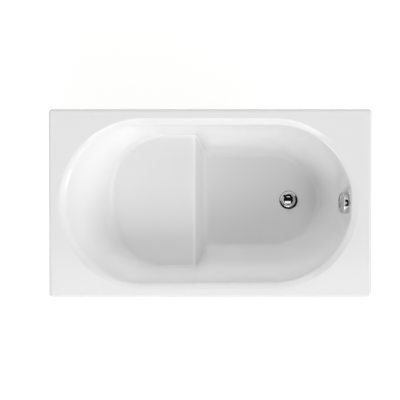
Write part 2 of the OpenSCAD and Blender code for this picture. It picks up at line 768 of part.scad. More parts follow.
module lift_lever() {
    color("ivory") at_waste() translate([pivot_dx, 0, pivot_z]) rotate([0, lever_half_turn, 0]) {
        rotate([-90, 0, 0]) translate([0, 0, -5])
            cylinder(r = lever_shaft_r, h = crank_y + 9);
        lever_arm(lever_l, 0, 8, 4);
        lever_arm(crank_l, lever_half_turn - 90, 5, crank_y + 2.5);
    }
}

// Plug: a crowned chrome cap with its seal, on a stem that stands on the lever
module plug_cap() {
    base = seat_level + plug_gap;
    side = 2;
    crown_r = (plug_r * plug_r + plug_crown * plug_crown) / (2 * plug_crown);
    color("gainsboro") at_waste() translate([0, 0, base]) rotate_extrude() union() {
        square([plug_r, side]);
        intersection() {
            translate([0, side + plug_crown - crown_r]) circle(r = crown_r, $fn = 128);
            translate([0, side]) square([plug_r, plug_crown]);
        }
    }
}
module plug_seal() {
    color("dimgray") at_waste() ring(throat_r - throat_wall - plug_gap, 16,
        seat_level + plug_gap - 3, seat_level + plug_gap);
}
// The stem's round end stands on the tapered upper edge of the lever's arm
rest_lean = lever_half_turn + asin((lever_root_r - lever_tip_r) / lever_l);
stem_end_z = pivot_z + (lever_root_r + stem_r + plug_gap - lever_l * sin(rest_lean))
    / cos(rest_lean);
module plug_stem() {
    color("ivory") at_waste() translate([0, 0, stem_end_z]) rotate_extrude()
        polygon(concat([[0, seat_level + plug_gap - stem_end_z]],
            [for (a = [0:22.5:90]) stem_r * [sin(a), -cos(a)]],
            [[stem_r, seat_level + plug_gap - stem_end_z]]));
}

// Overflow: a throat that clamps the wall against the body behind it, and a
// knob whose spindle winds the cable's wire on a small drum
overflow_back = -shell_t - clamp_seal_t;
overflow_chamber_end = overflow_back - 34;
spindle_end = overflow_chamber_end + body_wall + 2;
overflow_branch_z = overflow_back - 21;
overflow_gland_l = 40;
gland_y = 20;
drum_top = overflow_back - 20;
// Reach of the throat behind the wall's face, and of the guide inside it
throat_reach = 22;
guide_reach = 16;
module overflow_flange() {
    inner = throat_r - throat_wall;
    color("gainsboro") at_overflow() {
        rotate_extrude() polygon([[inner, -throat_reach], [throat_r, -throat_reach],
            [throat_r, 0],
            [hole_d / 2 + 9, 0], [hole_d / 2 + 9, 1.5], [hole_d / 2 + 8, 3], [inner, 3]]);
        translate([0, 0, -guide_reach]) guide(inner + throat_wall / 2, 10);
    }
}
module overflow_seal() {
    color("dimgray") at_overflow()
        ring(hole_d / 2 + 10, hole_d / 2 + 0.5, overflow_back, -shell_t);
}
module overflow_body() {
    outer_r = chamber_r + body_wall;
    color("dimgray") at_overflow() difference() {
        union() {
            rotate_extrude() polygon([[0, overflow_chamber_end],
                [outer_r - 3, overflow_chamber_end], [outer_r, overflow_chamber_end + 3],
                [outer_r, overflow_back - 8], [hole_d / 2 + 10, overflow_back - 4],
                [hole_d / 2 + 10, overflow_back], [0, overflow_back]]);
            translate([0, 0, overflow_branch_z]) rotate([0, -90, 0])
                cylinder(r = hose_r, h = branch_l);
            translate([0, gland_y, overflow_branch_z]) rotate([0, -90, 0])
                cylinder(r = gland_r, h = overflow_gland_l);
        }
        rotate_extrude() polygon([[0, overflow_chamber_end + body_wall],
            [chamber_r, overflow_chamber_end + body_wall], [chamber_r, overflow_back - 14],
            [throat_r + shaft_play, overflow_back - 12],
            [throat_r + shaft_play, overflow_back + 1], [0, overflow_back + 1]]);
        translate([0, 0, overflow_branch_z]) rotate([0, -90, 0])
            cylinder(r = hose_r - body_wall, h = branch_l + 1);
        translate([0, gland_y, overflow_branch_z]) rotate([0, -90, 0])
            cylinder(r = cable_r - 1, h = overflow_gland_l + 1);
    }
}
module control_knob() {
    r = knob_d / 2;
    front = knob_gap + knob_t;
    boss_r = stem_r + 3;
    color("gainsboro") at_overflow() difference() {
        rotate_extrude() polygon([[0, knob_gap + 3], [boss_r, knob_gap + 3],
            [boss_r, front - knob_wall], [r - knob_wall, front - knob_wall],
            [r - knob_wall, knob_gap], [r, knob_gap], [r, front - 3],
            [r - 1, front - 1], [r - 3, front], [0, front + 1]]);
        translate([0, 0, knob_gap]) cylinder(r = stem_r, h = knob_t - knob_wall - 2);
        translate([-r - 1, -22, knob_gap - 1]) cube([14, 44, 7]);
    }
}
module control_spindle() {
    top = knob_gap + knob_t - knob_wall - 2;
    color("ivory") at_overflow() {
        translate([0, 0, spindle_end]) cylinder(r = stem_r, h = top - spindle_end);
        translate([0, 0, drum_top - 5]) cylinder(r = 12, h = 5);
    }
}

// Hose and cable run down behind the waste end wall and in under the rail.
// Each is swept along a curve that leaves both fittings straight.
function local_x(v) = [v[0] * sin(flat_lean) - v[2] * cos(flat_lean), v[1],
    v[0] * cos(flat_lean) + v[2] * sin(flat_lean)];
function overflow_point(v) = [end_wall_x, 0, rim_h - overflow_depth] + local_x(v);
function bezier(p, t) = pow(1 - t, 3) * p[0] + 3 * t * pow(1 - t, 2) * p[1]
    + 3 * t * t * (1 - t) * p[2] + pow(t, 3) * p[3];
function unit(v) = v / norm(v);
module swept_tube(p, r, steps, sides) {
    path = [for (i = [0:steps]) bezier(p, i / steps)];
    points = [for (i = [0:steps])
        let (d = i == 0 ? unit(p[1] - p[0]) : i == steps ? unit(p[3] - p[2])
                : unit(path[i + 1] - path[i - 1]),
            u = unit(cross([0, 1, 0], d)), w = cross(d, u))
        each [for (k = [0:sides - 1]) let (a = 360 * k / sides)
            path[i] + r * (cos(a) * u + sin(a) * w)]];
    polyhedron(points, concat(
        [[for (k = [0:sides - 1]) k]],
        [for (i = [0:steps - 1]) for (k = [0:sides - 1])
            let (a = i * sides + k, b = i * sides + (k + 1) % sides)
            each [[a, a + sides, b], [b, a + sides, b + sides]]],
        [[for (k = [sides - 1:-1:0]) steps * sides + k]]));
}
hose_start = overflow_point([-branch_l, 0, overflow_branch_z]);
hose_end = [waste_x + branch_l, 0, branch_z];
cable_start = overflow_point([-overflow_gland_l, gland_y, overflow_branch_z]);
cable_end = [waste_x + pivot_dx + box_half_w + gland_l, crank_y, crank_z];
down_wall = local_x([-1, 0, 0]);
function hung_curve(from, to, down, along) = let (d = from - to)
    [from, from + down * d[2] * down_wall, to + [along * d[0], 0, 0], to];
module overflow_hose() {
    color("whitesmoke")
        swept_tube(hung_curve(hose_start, hose_end, 0.6, 0.7), hose_r, 40, 12);
}
module control_cable() {
    color("dimgray")
        swept_tube(hung_curve(cable_start, cable_end, 0.7, 0.95), cable_r, 44, 8);
}
clip_w = 16;
clip_t = 3.5;
module hose_clips() {
    color("dimgray") {
        at_overflow() translate([-branch_l + clip_w * 0.75, 0, overflow_branch_z])
            rotate([0, -90, 0]) ring(hose_r + clip_t, hose_r, 0, clip_w);
        translate(hose_end - [clip_w * 0.75, 0, 0]) rotate([0, 90, 0])
            ring(hose_r + clip_t, hose_r, 0, clip_w);
    }
}

// Trap: a low drum with a dip tube, a screw cap below and its outlet to the wall
washer_t = 2;
collar_top = neck_end - washer_t;
drum_top_z = 66;
drum_bottom_z = 12;
// Height of the dip tube's lower end above the drum's bottom
dip_gap = 20;
trap_cap_r = 28;
trap_nut_h = 18;
module trap_nut() {
    color("dimgray") at_waste() difference() {
        union() {
            translate([0, 0, drum_top_z + 1]) cylinder(r = neck_r + 6, h = trap_nut_h);
            for (a = [0:30:330]) rotate([0, 0, a])
                translate([neck_r + 5, -1.5, drum_top_z + 1]) cube([3, 3, trap_nut_h]);
        }
        translate([0, 0, drum_top_z]) cylinder(r = neck_r, h = trap_nut_h + 2);
    }
}
module trap_washer() {
    color("black") at_waste() ring(neck_r, neck_r - body_wall, collar_top, neck_end);
}
module trap_body() {
    inner_r = drum_r - body_wall;
    color("whitesmoke") at_waste() difference() {
        union() {
            rotate_extrude() polygon([[trap_cap_r, drum_bottom_z], [drum_r - 6, drum_bottom_z],
                [drum_r, drum_bottom_z + 6], [drum_r, drum_top_z - 6],
                [drum_r - 6, drum_top_z], [neck_r, drum_top_z], [neck_r, collar_top],
                [neck_r - body_wall, collar_top], [neck_r - body_wall, drum_bottom_z + dip_gap],
                [neck_r, drum_bottom_z + dip_gap], [neck_r, drum_top_z - body_wall],
                [inner_r - 6, drum_top_z - body_wall], [inner_r, drum_top_z - 8],
                [inner_r, drum_bottom_z + 8], [inner_r - 5, drum_bottom_z + body_wall],
                [trap_cap_r, drum_bottom_z + body_wall]]);
            translate([0, inner_r - 2, outlet_z]) rotate([-90, 0, 0]) {
                cylinder(r = outlet_r, h = outlet_l + body_wall + 2);
                cylinder(r = outlet_r + outlet_collar, h = outlet_collar + body_wall + 2);
            }
        }
        translate([0, inner_r - 10, outlet_z]) rotate([-90, 0, 0])
            cylinder(r = outlet_r - body_wall, h = outlet_l + body_wall + 12);
    }
}
module trap_cap() {
    color("dimgray") at_waste() {
        translate([0, 0, drum_bottom_z - 4]) cylinder(r = trap_cap_r + 5, h = 4);
        translate([0, 0, drum_bottom_z]) cylinder(r = trap_cap_r, h = 6);
    }
}

acrylic_shell();
fibreglass_backing();
base_board();
seat_board();
batten_front();
batten_rear();
batten_seat_end();
batten_waste_end();
mid_rail();
end_rail();
seat_rail();
seat_post_front();
seat_post_rear();
post_inserts();
rail_screws();
rail_end_caps();
foot_nuts();
foot_rod_seat_front();
foot_rod_seat_rear();
foot_rod_mid_front();
foot_rod_mid_rear();
foot_rod_end_front();
foot_rod_end_rear();
foot_pad_seat_front();
foot_pad_seat_rear();
foot_pad_mid_front();
foot_pad_mid_rear();
foot_pad_end_front();
foot_pad_end_rear();
wall_brackets();
bracket_screws();
waste_flange();
waste_top_seal();
waste_bottom_seal();
waste_body();
lever_cover();
plug_cap();
plug_seal();
plug_stem();
lift_lever();
overflow_flange();
overflow_seal();
overflow_body();
control_knob();
control_spindle();
control_cable();
overflow_hose();
hose_clips();
trap_nut();
trap_washer();
trap_body();
trap_cap();
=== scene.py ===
"""Looks of the sit-in bathtub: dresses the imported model, lights it and sets the camera."""
import json
import math

import bmesh
import bpy
import numpy as np
from mathutils import Matrix, Vector, noise


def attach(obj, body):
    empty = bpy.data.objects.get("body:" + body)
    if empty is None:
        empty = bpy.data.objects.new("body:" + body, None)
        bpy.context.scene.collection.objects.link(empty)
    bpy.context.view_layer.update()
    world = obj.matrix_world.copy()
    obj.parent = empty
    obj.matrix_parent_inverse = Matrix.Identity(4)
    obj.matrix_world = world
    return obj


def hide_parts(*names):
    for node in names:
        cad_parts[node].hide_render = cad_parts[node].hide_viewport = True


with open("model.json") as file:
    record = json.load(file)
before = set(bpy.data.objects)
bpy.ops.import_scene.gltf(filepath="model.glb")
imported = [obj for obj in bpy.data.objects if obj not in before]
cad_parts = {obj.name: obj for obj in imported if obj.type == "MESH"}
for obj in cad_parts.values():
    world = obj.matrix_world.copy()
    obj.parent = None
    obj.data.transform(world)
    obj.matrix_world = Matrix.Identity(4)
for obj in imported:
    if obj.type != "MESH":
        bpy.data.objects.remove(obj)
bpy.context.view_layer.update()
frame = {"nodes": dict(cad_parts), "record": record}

NODE_BODY = {node: body for body, nodes in frame["record"]["behaviour"]["bodies"].items()
             for node in nodes}

# Sizes of the tub in metres, as in the construction
RIM_L, RIM_W, RIM_H = 1.200, 0.700, 0.600
CORNER_R, EDGE_R, FLANGE_H = 0.014, 0.011, 0.035
SIDE_DECK, SEAT_DECK, WASTE_DECK = 0.034, 0.035, 0.049
SEAT_Z, FLOOR_Z = 0.350, 0.180
SEAT_FRONT_X, RISER_LEAN = -0.058, math.radians(12)
NOSE_R, RISER_FOOT_R = 0.015, 0.024
FLOOR_FILLET_R, SEAT_FILLET_R, BACK_FILLET_R = 0.020, 0.015, 0.058
LEDGE_W, LEDGE_SLOPE = 0.022, math.radians(22)
LIP_R, SHOULDER_R, BACK_SHOULDER_R = 0.010, 0.010, 0.060
SIDE_RUN, SIDE_CURVE, SEAT_SIDE_RUN = 0.15, 0.283, 0.1465
BACK_RUN, END_RUN = 0.62, 0.211
BACK_START, BACK_SPREAD, END_SPREAD = 0.060, 1.2, 1.5
ACRYLIC_T, SHELL_T = 0.004, 0.008
OVERFLOW_DEPTH, HOLE_R = 0.066, 0.026

HALF_L, HALF_W = RIM_L / 2, RIM_W / 2
OPEN_HALF_W = HALF_W - SIDE_DECK
OPEN_SEAT_END, OPEN_WASTE_END = HALF_L - SEAT_DECK, HALF_L - WASTE_DECK
SEAT_ARC_X = OPEN_HALF_W - OPEN_SEAT_END
WASTE_ARC_X = OPEN_WASTE_END - OPEN_HALF_W
LEDGE_DROP = LEDGE_W * math.tan(LEDGE_SLOPE)
STEP_TURN = math.tan((math.pi / 2 - RISER_LEAN) / 2)
SEAT_END_X = SEAT_FRONT_X - NOSE_R * STEP_TURN
WELL_START_X = SEAT_FRONT_X + (SEAT_Z - FLOOR_Z) * math.tan(RISER_LEAN) + RISER_FOOT_R * STEP_TURN
FLAT_RATIO = math.cos(math.radians(9))
FLAT_LEAN = math.atan(END_RUN * FLAT_RATIO)

# Frames of the waste (z up) and of the overflow (z into the tub, x up the wall)
WASTE = Vector((0.319, 0.0, 0.0))
OVERFLOW = Vector((WASTE_ARC_X + FLAT_RATIO * (OPEN_HALF_W - LEDGE_W
                   - END_RUN * (OVERFLOW_DEPTH - LEDGE_DROP)), 0.0, RIM_H - OVERFLOW_DEPTH))
UP_WALL = Vector((math.sin(FLAT_LEAN), 0.0, math.cos(FLAT_LEAN)))
OFF_WALL = Vector((-math.cos(FLAT_LEAN), 0.0, math.sin(FLAT_LEAN)))
AT_WASTE = Matrix.Translation(WASTE)
AT_OVERFLOW = Matrix.Translation(OVERFLOW) @ Matrix(
    (UP_WALL, Vector((0, 1, 0)), OFF_WALL)).transposed().to_4x4()

# Leg rails and feet
RAIL_W, RAIL_H, RAIL_WALL, RAIL_CORNER = 0.040, 0.030, 0.002, 0.0035
WELL_RAIL_Z, SEAT_RAIL_Z = 0.127, 0.300
WELL_RAIL_L, SEAT_RAIL_L = 0.460, 0.370
MID_X, END_X, SEAT_X = 0.070, 0.382, -0.205
POST_W = 0.030
WELL_SCREWS, SEAT_SCREWS = (-0.060, 0.060), (-0.150, -0.050, 0.050, 0.150)
WELL_ROD_Y, SEAT_ROD_Y = 0.210, 0.165
FEET = {"seat": (SEAT_X, SEAT_ROD_Y), "mid": (MID_X, WELL_ROD_Y), "end": (END_X, WELL_ROD_Y)}
ROD_R, ROD_BOTTOM, ROD_TOP = 0.005, 0.006, 0.186
NUT_AF, NUT_H, INSERT_LIP = 0.017, 0.008, 0.002
SCREW_R, SCREW_HEAD_R, SCREW_HEAD_H, SCREW_GRIP = 0.0025, 0.005, 0.003, 0.009
ACCESS_R, ROD_PLAY = 0.0065, 0.0005
# How far a cut reaches past the surface that it opens
PAST = 0.001

# Steps of the fine tub mesh
QUARTER_STEPS, CORNER_STEPS = 48, 12


# Mesh helpers

def new_object(name, verts, faces, smooth=True):
    mesh = bpy.data.meshes.new(name)
    mesh.from_pydata([tuple(v) for v in verts], [], [tuple(f) for f in faces])
    obj = bpy.data.objects.new(name, mesh)
    bpy.context.scene.collection.objects.link(obj)
    mesh.polygons.foreach_set("use_smooth", [smooth] * len(mesh.polygons))
    return obj


def apply_modifiers(obj):
    graph = bpy.context.evaluated_depsgraph_get()
    mesh = bpy.data.meshes.new_from_object(obj.evaluated_get(graph))
    obj.modifiers.clear()
    old, obj.data = obj.data, mesh
    bpy.data.meshes.remove(old)
    return obj


def tidy_mesh(obj, dist=1e-6):
    bm = bmesh.new()
    bm.from_mesh(obj.data)
    bmesh.ops.remove_doubles(bm, verts=bm.verts, dist=dist)
    bmesh.ops.dissolve_degenerate(bm, edges=bm.edges, dist=dist / 10)
    bmesh.ops.recalc_face_normals(bm, faces=bm.faces)
    bm.to_mesh(obj.data)
    bm.free()
    return obj


def sharpen(obj, degrees=32):
    obj.data.polygons.foreach_set("use_smooth", [True] * len(obj.data.polygons))
    obj.data.set_sharp_from_angle(angle=math.radians(degrees))
    return obj


def boolean(obj, other, operation="DIFFERENCE"):
    """Cuts other from obj, or joins it, and removes other."""
    mod = obj.modifiers.new("boolean", "BOOLEAN")
    mod.operation, mod.solver, mod.object = operation, "EXACT", other
    bpy.context.view_layer.update()
    apply_modifiers(obj)
    bpy.data.objects.remove(other)
    return obj


def merge(name, objs):
    """One object from several, which are removed."""
    bm = bmesh.new()
    for o in objs:
        part = o.data.copy()
        part.transform(o.matrix_basis)
        bm.from_mesh(part)
        bpy.data.meshes.remove(part)
    mesh = bpy.data.meshes.new(name)
    bm.to_mesh(mesh)
    bm.free()
    for o in objs:
        bpy.data.objects.remove(o)
    obj = bpy.data.objects.new(name, mesh)
    bpy.context.scene.collection.objects.link(obj)
    return obj


def place(obj, matrix):
    obj.data.transform(matrix)
    return obj


def copies(obj, matrices):
    """The object repeated at each place, as one object."""
    parts = []
    for m in matrices:
        o = bpy.data.objects.new("copy", obj.data.copy())
        o.data.transform(m)
        parts.append(o)
    name = obj.name
    bpy.data.objects.remove(obj)
    return merge(name, parts)


def revolve(name, profile, steps=96, radius=None):
    """Turns a closed (r, z) profile about z. radius(r, angle) may shape it on the way round."""
    n = len(profile)
    verts, faces = [], []
    for i in range(steps):
        a = 2 * math.pi * i / steps
        for r, z in profile:
            rr = radius(r, a) if radius else r
            verts.append((rr * math.cos(a), rr * math.sin(a), z))
    for i in range(steps):
        j = (i + 1) % steps
        for k in range(n):
            l = (k + 1) % n
            faces.append((i * n + k, j * n + k, j * n + l, i * n + l))
    return sharpen(tidy_mesh(new_object(name, verts, faces)))


def rounded(points, radius, steps=5):
    """A closed polygon of (x, y) points with rounded corners; radius is one value or one per corner."""
    out = []
    n = len(points)
    radii = radius if isinstance(radius, (list, tuple)) else [radius] * n
    for i in range(n):
        p, a, b = (Vector(points[j % n]) for j in (i, i - 1, i + 1))
        u, v = (a - p), (b - p)
        lu, lv = u.length, v.length
        angle = u.angle(v)
        if radii[i] <= 0 or angle > math.radians(175):
            out.append(tuple(p))
            continue
        reach = min(radii[i] / math.tan(angle / 2), 0.49 * lu, 0.49 * lv)
        start, end = p + u / lu * reach, p + v / lv * reach
        for k in range(steps + 1):
            t = k / steps
            out.append(tuple((1 - t) ** 2 * start + 2 * t * (1 - t) * p + t * t * end))
    return out


def prism(name, outline, z0, z1, hole=None):
    """Upright solid of an (x, y) outline, with an optional hole of as many points."""
    n = len(outline)
    verts = [(x, y, z) for z in (z0, z1) for x, y in outline]
    side = [(i, (i + 1) % n, n + (i + 1) % n, n + i) for i in range(n)]
    if hole is None:
        faces = side + [tuple(range(n - 1, -1, -1)), tuple(range(n, 2 * n))]
    else:
        verts += [(x, y, z) for z in (z0, z1) for x, y in hole]
        m = 2 * n
        faces = side + [(m + n + i, m + n + (i + 1) % n, m + (i + 1) % n, m + i) for i in range(n)]
        faces += [(m + i, m + (i + 1) % n, (i + 1) % n, i) for i in range(n)]
        faces += [(n + i, n + (i + 1) % n, m + n + (i + 1) % n, m + n + i) for i in range(n)]
    return tidy_mesh(new_object(name, verts, faces, smooth=False))


def cylinder(radius, z0, z1, steps=48):
    ring = [(radius * math.cos(2 * math.pi * i / steps), radius * math.sin(2 * math.pi * i / steps))
            for i in range(steps)]
    return prism("cylinder", ring, z0, z1)


def box(lo, hi):
    return prism("box", [(lo[0], lo[1]), (hi[0], lo[1]), (hi[0], hi[1]), (lo[0], hi[1])],
                 lo[2], hi[2])


def dressed(obj, node, slot):
    """The finished piece stands for its node, rides with it and wears the slot's material."""
    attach(obj, NODE_BODY[node])
    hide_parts(node)
    obj.data.materials.clear()
    obj.data.materials.append(MATERIALS[slot])
    return obj


def eased(node, slot, width, segments=2, angle=28):
    """A piece with its node's shape and rounded edges."""
    source = frame["nodes"][node].data
    verts = [v.co for v in source.vertices]
    faces = [tuple(p.vertices) for p in source.polygons]
    obj = new_object(node.replace("_", "-"), verts, faces)
    bm = bmesh.new()
    bm.from_mesh(obj.data)
    bmesh.ops.remove_doubles(bm, verts=bm.verts, dist=2e-6)
    bmesh.ops.dissolve_limit(bm, angle_limit=math.radians(1), verts=bm.verts, edges=bm.edges)
    bm.to_mesh(obj.data)
    bm.free()
    mod = obj.modifiers.new("bevel", "BEVEL")
    mod.width, mod.segments, mod.limit_method = width, segments, "ANGLE"
    mod.angle_limit, mod.harden_normals = math.radians(angle), False
    apply_modifiers(obj)
    sharpen(obj, 40)
    return dressed(obj, node, slot)


# The tub's surface: a ring of columns round the opening, as in the construction

def step_line(t):
    """Seat, riser and floor as (x, level) points, t inside the material."""
    turn = math.pi / 2 - RISER_LEAN
    nose = [(SEAT_END_X + (NOSE_R - t) * math.sin(a), SEAT_Z - NOSE_R + (NOSE_R - t) * math.cos(a))
            for a in np.linspace(0, turn, 13)]
    foot = [(WELL_START_X - (RISER_FOOT_R + t) * math.sin(a),
             FLOOR_Z + RISER_FOOT_R - (RISER_FOOT_R + t) * math.cos(a))
            for a in np.linspace(turn, 0, 13)]
    riser = [tuple(np.array(nose[-1]) + f * (np.array(foot[0]) - nose[-1]))
             for f in np.linspace(0, 1, 10)[1:-1]]
    seat = [(x, SEAT_Z - t) for x in np.linspace(SEAT_ARC_X, SEAT_END_X, 16)[1:-1]]
    floor = [(x, FLOOR_Z - t) for x in np.linspace(WELL_START_X, WASTE_ARC_X, 18)[1:-1]]
    return seat + nose + riser + foot + floor


def quarter_column(k, cx, sx, sy, level):
    """Column of one quarter of an end, from the side (k = 0) to the tip."""
    first = (QUARTER_STEPS - CORNER_STEPS) / 2
    last = first + CORNER_STEPS
    far_x, far_y = HALF_L - CORNER_R, HALF_W - CORNER_R
    a = math.pi / 2 * k / QUARTER_STEPS
    b = math.pi / 2 * min(1, max(0, (k - first) / CORNER_STEPS))
    if k <= first:
        anchor = (abs(cx) + (far_x - abs(cx)) * k / first, far_y)
    elif k >= last:
        anchor = (far_x, far_y * (QUARTER_STEPS - k) / (QUARTER_STEPS - last))
    else:
        anchor = (far_x, far_y)
    return (cx, sx * math.sin(a), sy * math.cos(a), level,
            sx * anchor[0], sy * anchor[1], sx * math.sin(b), sy * math.cos(b))


def columns(t):
    line, side, n = step_line(t), HALF_W - CORNER_R, QUARTER_STEPS
    cols = [(x, 0, 1, z + t, x, side, 0, 1) for x, z in line]
    cols += [quarter_column(k, WASTE_ARC_X, 1, 1, FLOOR_Z) for k in range(n + 1)]
    cols += [quarter_column(k, WASTE_ARC_X, 1, -1, FLOOR_Z) for k in range(n - 1, -1, -1)]
    cols += [(x, 0, -1, z + t, x, -side, 0, -1) for x, z in reversed(line)]
    cols += [quarter_column(k, SEAT_ARC_X, -1, -1, SEAT_Z) for k in range(n + 1)]
    cols += [quarter_column(k, SEAT_ARC_X, -1, 1, SEAT_Z) for k in range(n - 1, -1, -1)]
    return cols


def section(col, t):
    """A column's section as (inward distance, height) points, t inside the material."""
    cx, nx, _, level = col[:4]
    open_x = cx + OPEN_HALF_W * nx
    back_x = SEAT_ARC_X + BACK_START
    back = max(0.0, (back_x - open_x) / (back_x + OPEN_SEAT_END)) ** BACK_SPREAD
    end = max(0.0, min(1.0, (open_x - WASTE_ARC_X) / (FLAT_RATIO * OPEN_HALF_W))) ** END_SPREAD
    seat = min(1.0, max(0.0, (WELL_START_X - cx) / (WELL_START_X - SEAT_END_X)))
    seat = seat * seat * (3 - 2 * seat)

    def mix(side_value, back_value, end_value):
        return side_value + (back_value - side_value) * back + (end_value - side_value) * end

    def beside(well_value, seat_value):
        return well_value + (seat_value - well_value) * seat

    run = mix(beside(SIDE_RUN, SEAT_SIDE_RUN), BACK_RUN, END_RUN)
    curve = mix(beside(SIDE_CURVE, 0), 0, 0)
    r_shoulder = mix(SHOULDER_R, BACK_SHOULDER_R, SHOULDER_R)
    r_fillet = mix(beside(FLOOR_FILLET_R, SEAT_FILLET_R), BACK_FILLET_R, FLOOR_FILLET_R)
    slope = math.pi / 2 - math.atan(run)
    reach = r_shoulder * math.tan((slope - LEDGE_SLOPE) / 2)
    corner = np.array((LEDGE_W, RIM_H - LEDGE_DROP))
    start = corner - reach * np.array((math.cos(LEDGE_SLOPE), -math.sin(LEDGE_SLOPE)))
    centre = start - r_shoulder * np.array((math.sin(LEDGE_SLOPE), math.cos(LEDGE_SLOPE)))
    p0 = corner + reach * np.array((math.cos(slope), -math.sin(slope)))
    drop = 0.0
    for _ in range(7):
        lean = math.atan(run + 2 * curve * drop)
        drop = p0[1] - level - r_fillet + r_fillet * math.sin(lean)
    lean = math.atan(run + 2 * curve * drop)
    touch = p0 + np.array((run * drop + curve * drop * drop, -drop))
    f_centre = touch + r_fillet * np.array((math.cos(lean), math.sin(lean)))
    lip_x = -LIP_R * math.tan(LEDGE_SLOPE / 2)
    points = [(lip_x + (LIP_R - t) * math.sin(a), RIM_H - LIP_R + (LIP_R - t) * math.cos(a))
              for a in np.linspace(0, LEDGE_SLOPE, 6)]
    points += [centre + (r_shoulder - t) * np.array((math.sin(a), math.cos(a)))
               for a in np.linspace(LEDGE_SLOPE, slope, 12)]
    for d in np.linspace(0, drop, 18)[1:-1]:
        a = math.atan(run + 2 * curve * d)
        points.append(p0 + np.array((run * d + curve * d * d, -d))
                      - t * np.array((math.cos(a), math.sin(a))))
    points += [f_centre - (r_fillet + t) * np.array((math.sin(a), math.cos(a)))
               for a in np.linspace(math.pi / 2 - lean, 0, 14)]
    return points


def flatten_overflow(p, t):
    """Draws the wall in to the flat seat round the overflow."""
    seat_r, blend_r = 0.044, 0.105
    most, fade, below_rim = 0.004, 0.015, RIM_H - 0.004
    v = Vector(p) - OVERFLOW
    off = v.dot(OFF_WALL)
    r = math.hypot(v.dot(UP_WALL), v.y)
    if r >= blend_r or abs(off) > 0.03:
        return p
    w = min(1.0, 1 - (r - seat_r) / (blend_r - seat_r))
    w = w * w * (3 - 2 * w) * min(1.0, max(0.0, (below_rim - p[2]) / fade))
    return tuple(Vector(p) + OFF_WALL * w * max(-most, min(most, -t - off)))


def skin(t):
    """Rows of points of the surface t inside the material, from the flange to the middle."""
    cols = columns(t)

    def rim(inset, z):
        return [(c[4] + (CORNER_R - inset) * c[6], c[5] + (CORNER_R - inset) * c[7], z)
                for c in cols]

    rows = [rim(t, RIM_H - FLANGE_H + f * (FLANGE_H - EDGE_R)) for f in (0, 0.3, 0.65, 0.93)]
    rows += [rim(EDGE_R - (EDGE_R - t) * math.sin(a), RIM_H - EDGE_R + (EDGE_R - t) * math.cos(a))
             for a in np.linspace(math.pi / 2, 0, 10)]
    basin = []
    sections = [section(c, t) for c in cols]
    for r in range(len(sections[0])):
        basin.append([(c[0] + (OPEN_HALF_W - s[r][0]) * c[1], (OPEN_HALF_W - s[r][0]) * c[2],
                       s[r][1]) for c, s in zip(cols, sections)])
    outer, inner = rows[-1], basin[0]
    rows += [[tuple(np.array(a) + f * (np.array(b) - a)) for a, b in zip(outer, inner)]
             for f in (0.04, 0.35, 0.65, 0.96)]
    rows += [[flatten_overflow(p, t) for p in row] for row in basin]
    last = rows[-1]
    rows += [[(c[0] + (p[0] - c[0]) * f, p[1] * f, p[2]) for c, p in zip(cols, last)]
             for f in (0.8, 0.6, 0.4, 0.2, 0.0)]
    return rows


# Unevenness of the laminate's back: (height in metres, noise scale)
LAY_UP = [(0.0007, 22), (0.0004, 75)]


def lay_up(p):
    """How far the hand-laid laminate's back stands proud at a point."""
    return sum(height * noise.noise(Vector(p) * scale) for height, scale in LAY_UP)


def tub_layer(name, t0, t1, rough):
    """Closed solid of the tub between two depths behind its visible surface."""
    upper, lower = skin(t0), skin(t1)
    if rough:
        deeper = skin(t1 - 0.001)
        lower = [[tuple(Vector(p) + (Vector(p) - Vector(q)).normalized() * lay_up(p))
                  for p, q in zip(*pair)] for pair in zip(lower, deeper)]
    n, rows = len(upper[0]), len(upper)
    verts = [p for row in upper for p in row] + [p for row in lower for p in row]
    base = rows * n
    faces = []
    for r in range(rows - 1):
        for i in range(n):
            j = (i + 1) % n
            a, b, c, d = r * n + i, (r + 1) * n + i, (r + 1) * n + j, r * n + j
            faces += [(a, b, c, d), (base + d, base + c, base + b, base + a)]
    faces += [(i, (i + 1) % n, base + (i + 1) % n, base + i) for i in range(n)]
    obj = tidy_mesh(new_object(name, verts, faces))
    boolean(obj, place(cylinder(HOLE_R, -0.02, 0.02, 128),
                       AT_WASTE @ Matrix.Translation((0, 0, FLOOR_Z))))
    boolean(obj, place(cylinder(HOLE_R, -0.03, 0.03, 128), AT_OVERFLOW))
    return sharpen(obj)


def build_tub():
    dressed(tub_layer("shell_skin", 0.0, ACRYLIC_T, False), "acrylic_shell", "acrylic")
    dressed(tub_layer("laminate_skin", ACRYLIC_T, SHELL_T, True), "fibreglass_backing",
            "laminate")


# Leg rails, feet and fasteners

def rectangle(w, h, inset=0.0):
    x, y = w / 2 - inset, h / 2 - inset
    r = max(RAIL_CORNER - inset, 0.001)
    return rounded([(-x, -y), (x, -y), (x, y), (-x, y)], r, 6)


def tube(name, w, h, length, holes):
    """Rounded steel tube along z, with round holes through it at (matrix, radius, z0, z1)."""
    obj = prism(name, rectangle(w, h), 0, length, rectangle(w, h, RAIL_WALL))
    for matrix, radius, z0, z1 in holes:
        boolean(obj, place(cylinder(radius, z0, z1), matrix))
    return obj


def rail(node, x, z, length, screws, rod_y):
    """Rail along y. In the tube's own frame z runs along the rail and -y is up."""
    stand = Matrix.Translation((x, -length / 2, z + RAIL_H / 2)) @ Matrix.Rotation(
        math.radians(-90), 4, "X")
    back = stand.inverted()
    holes = []
    for y in screws:
        at = back @ Matrix.Translation((x, y, z))
        holes += [(at, ACCESS_R, -PAST, RAIL_WALL + PAST), (at, SCREW_R, RAIL_H / 2, RAIL_H + PAST)]
    for y in rod_y:
        holes.append((back @ Matrix.Translation((x, y, z)), ROD_R + ROD_PLAY, -PAST, RAIL_H + PAST))
    obj = tube(node + "_tube", RAIL_W, RAIL_H, length, holes)
    return dressed(sharpen(place(obj, stand)), node, "zinc_steel")


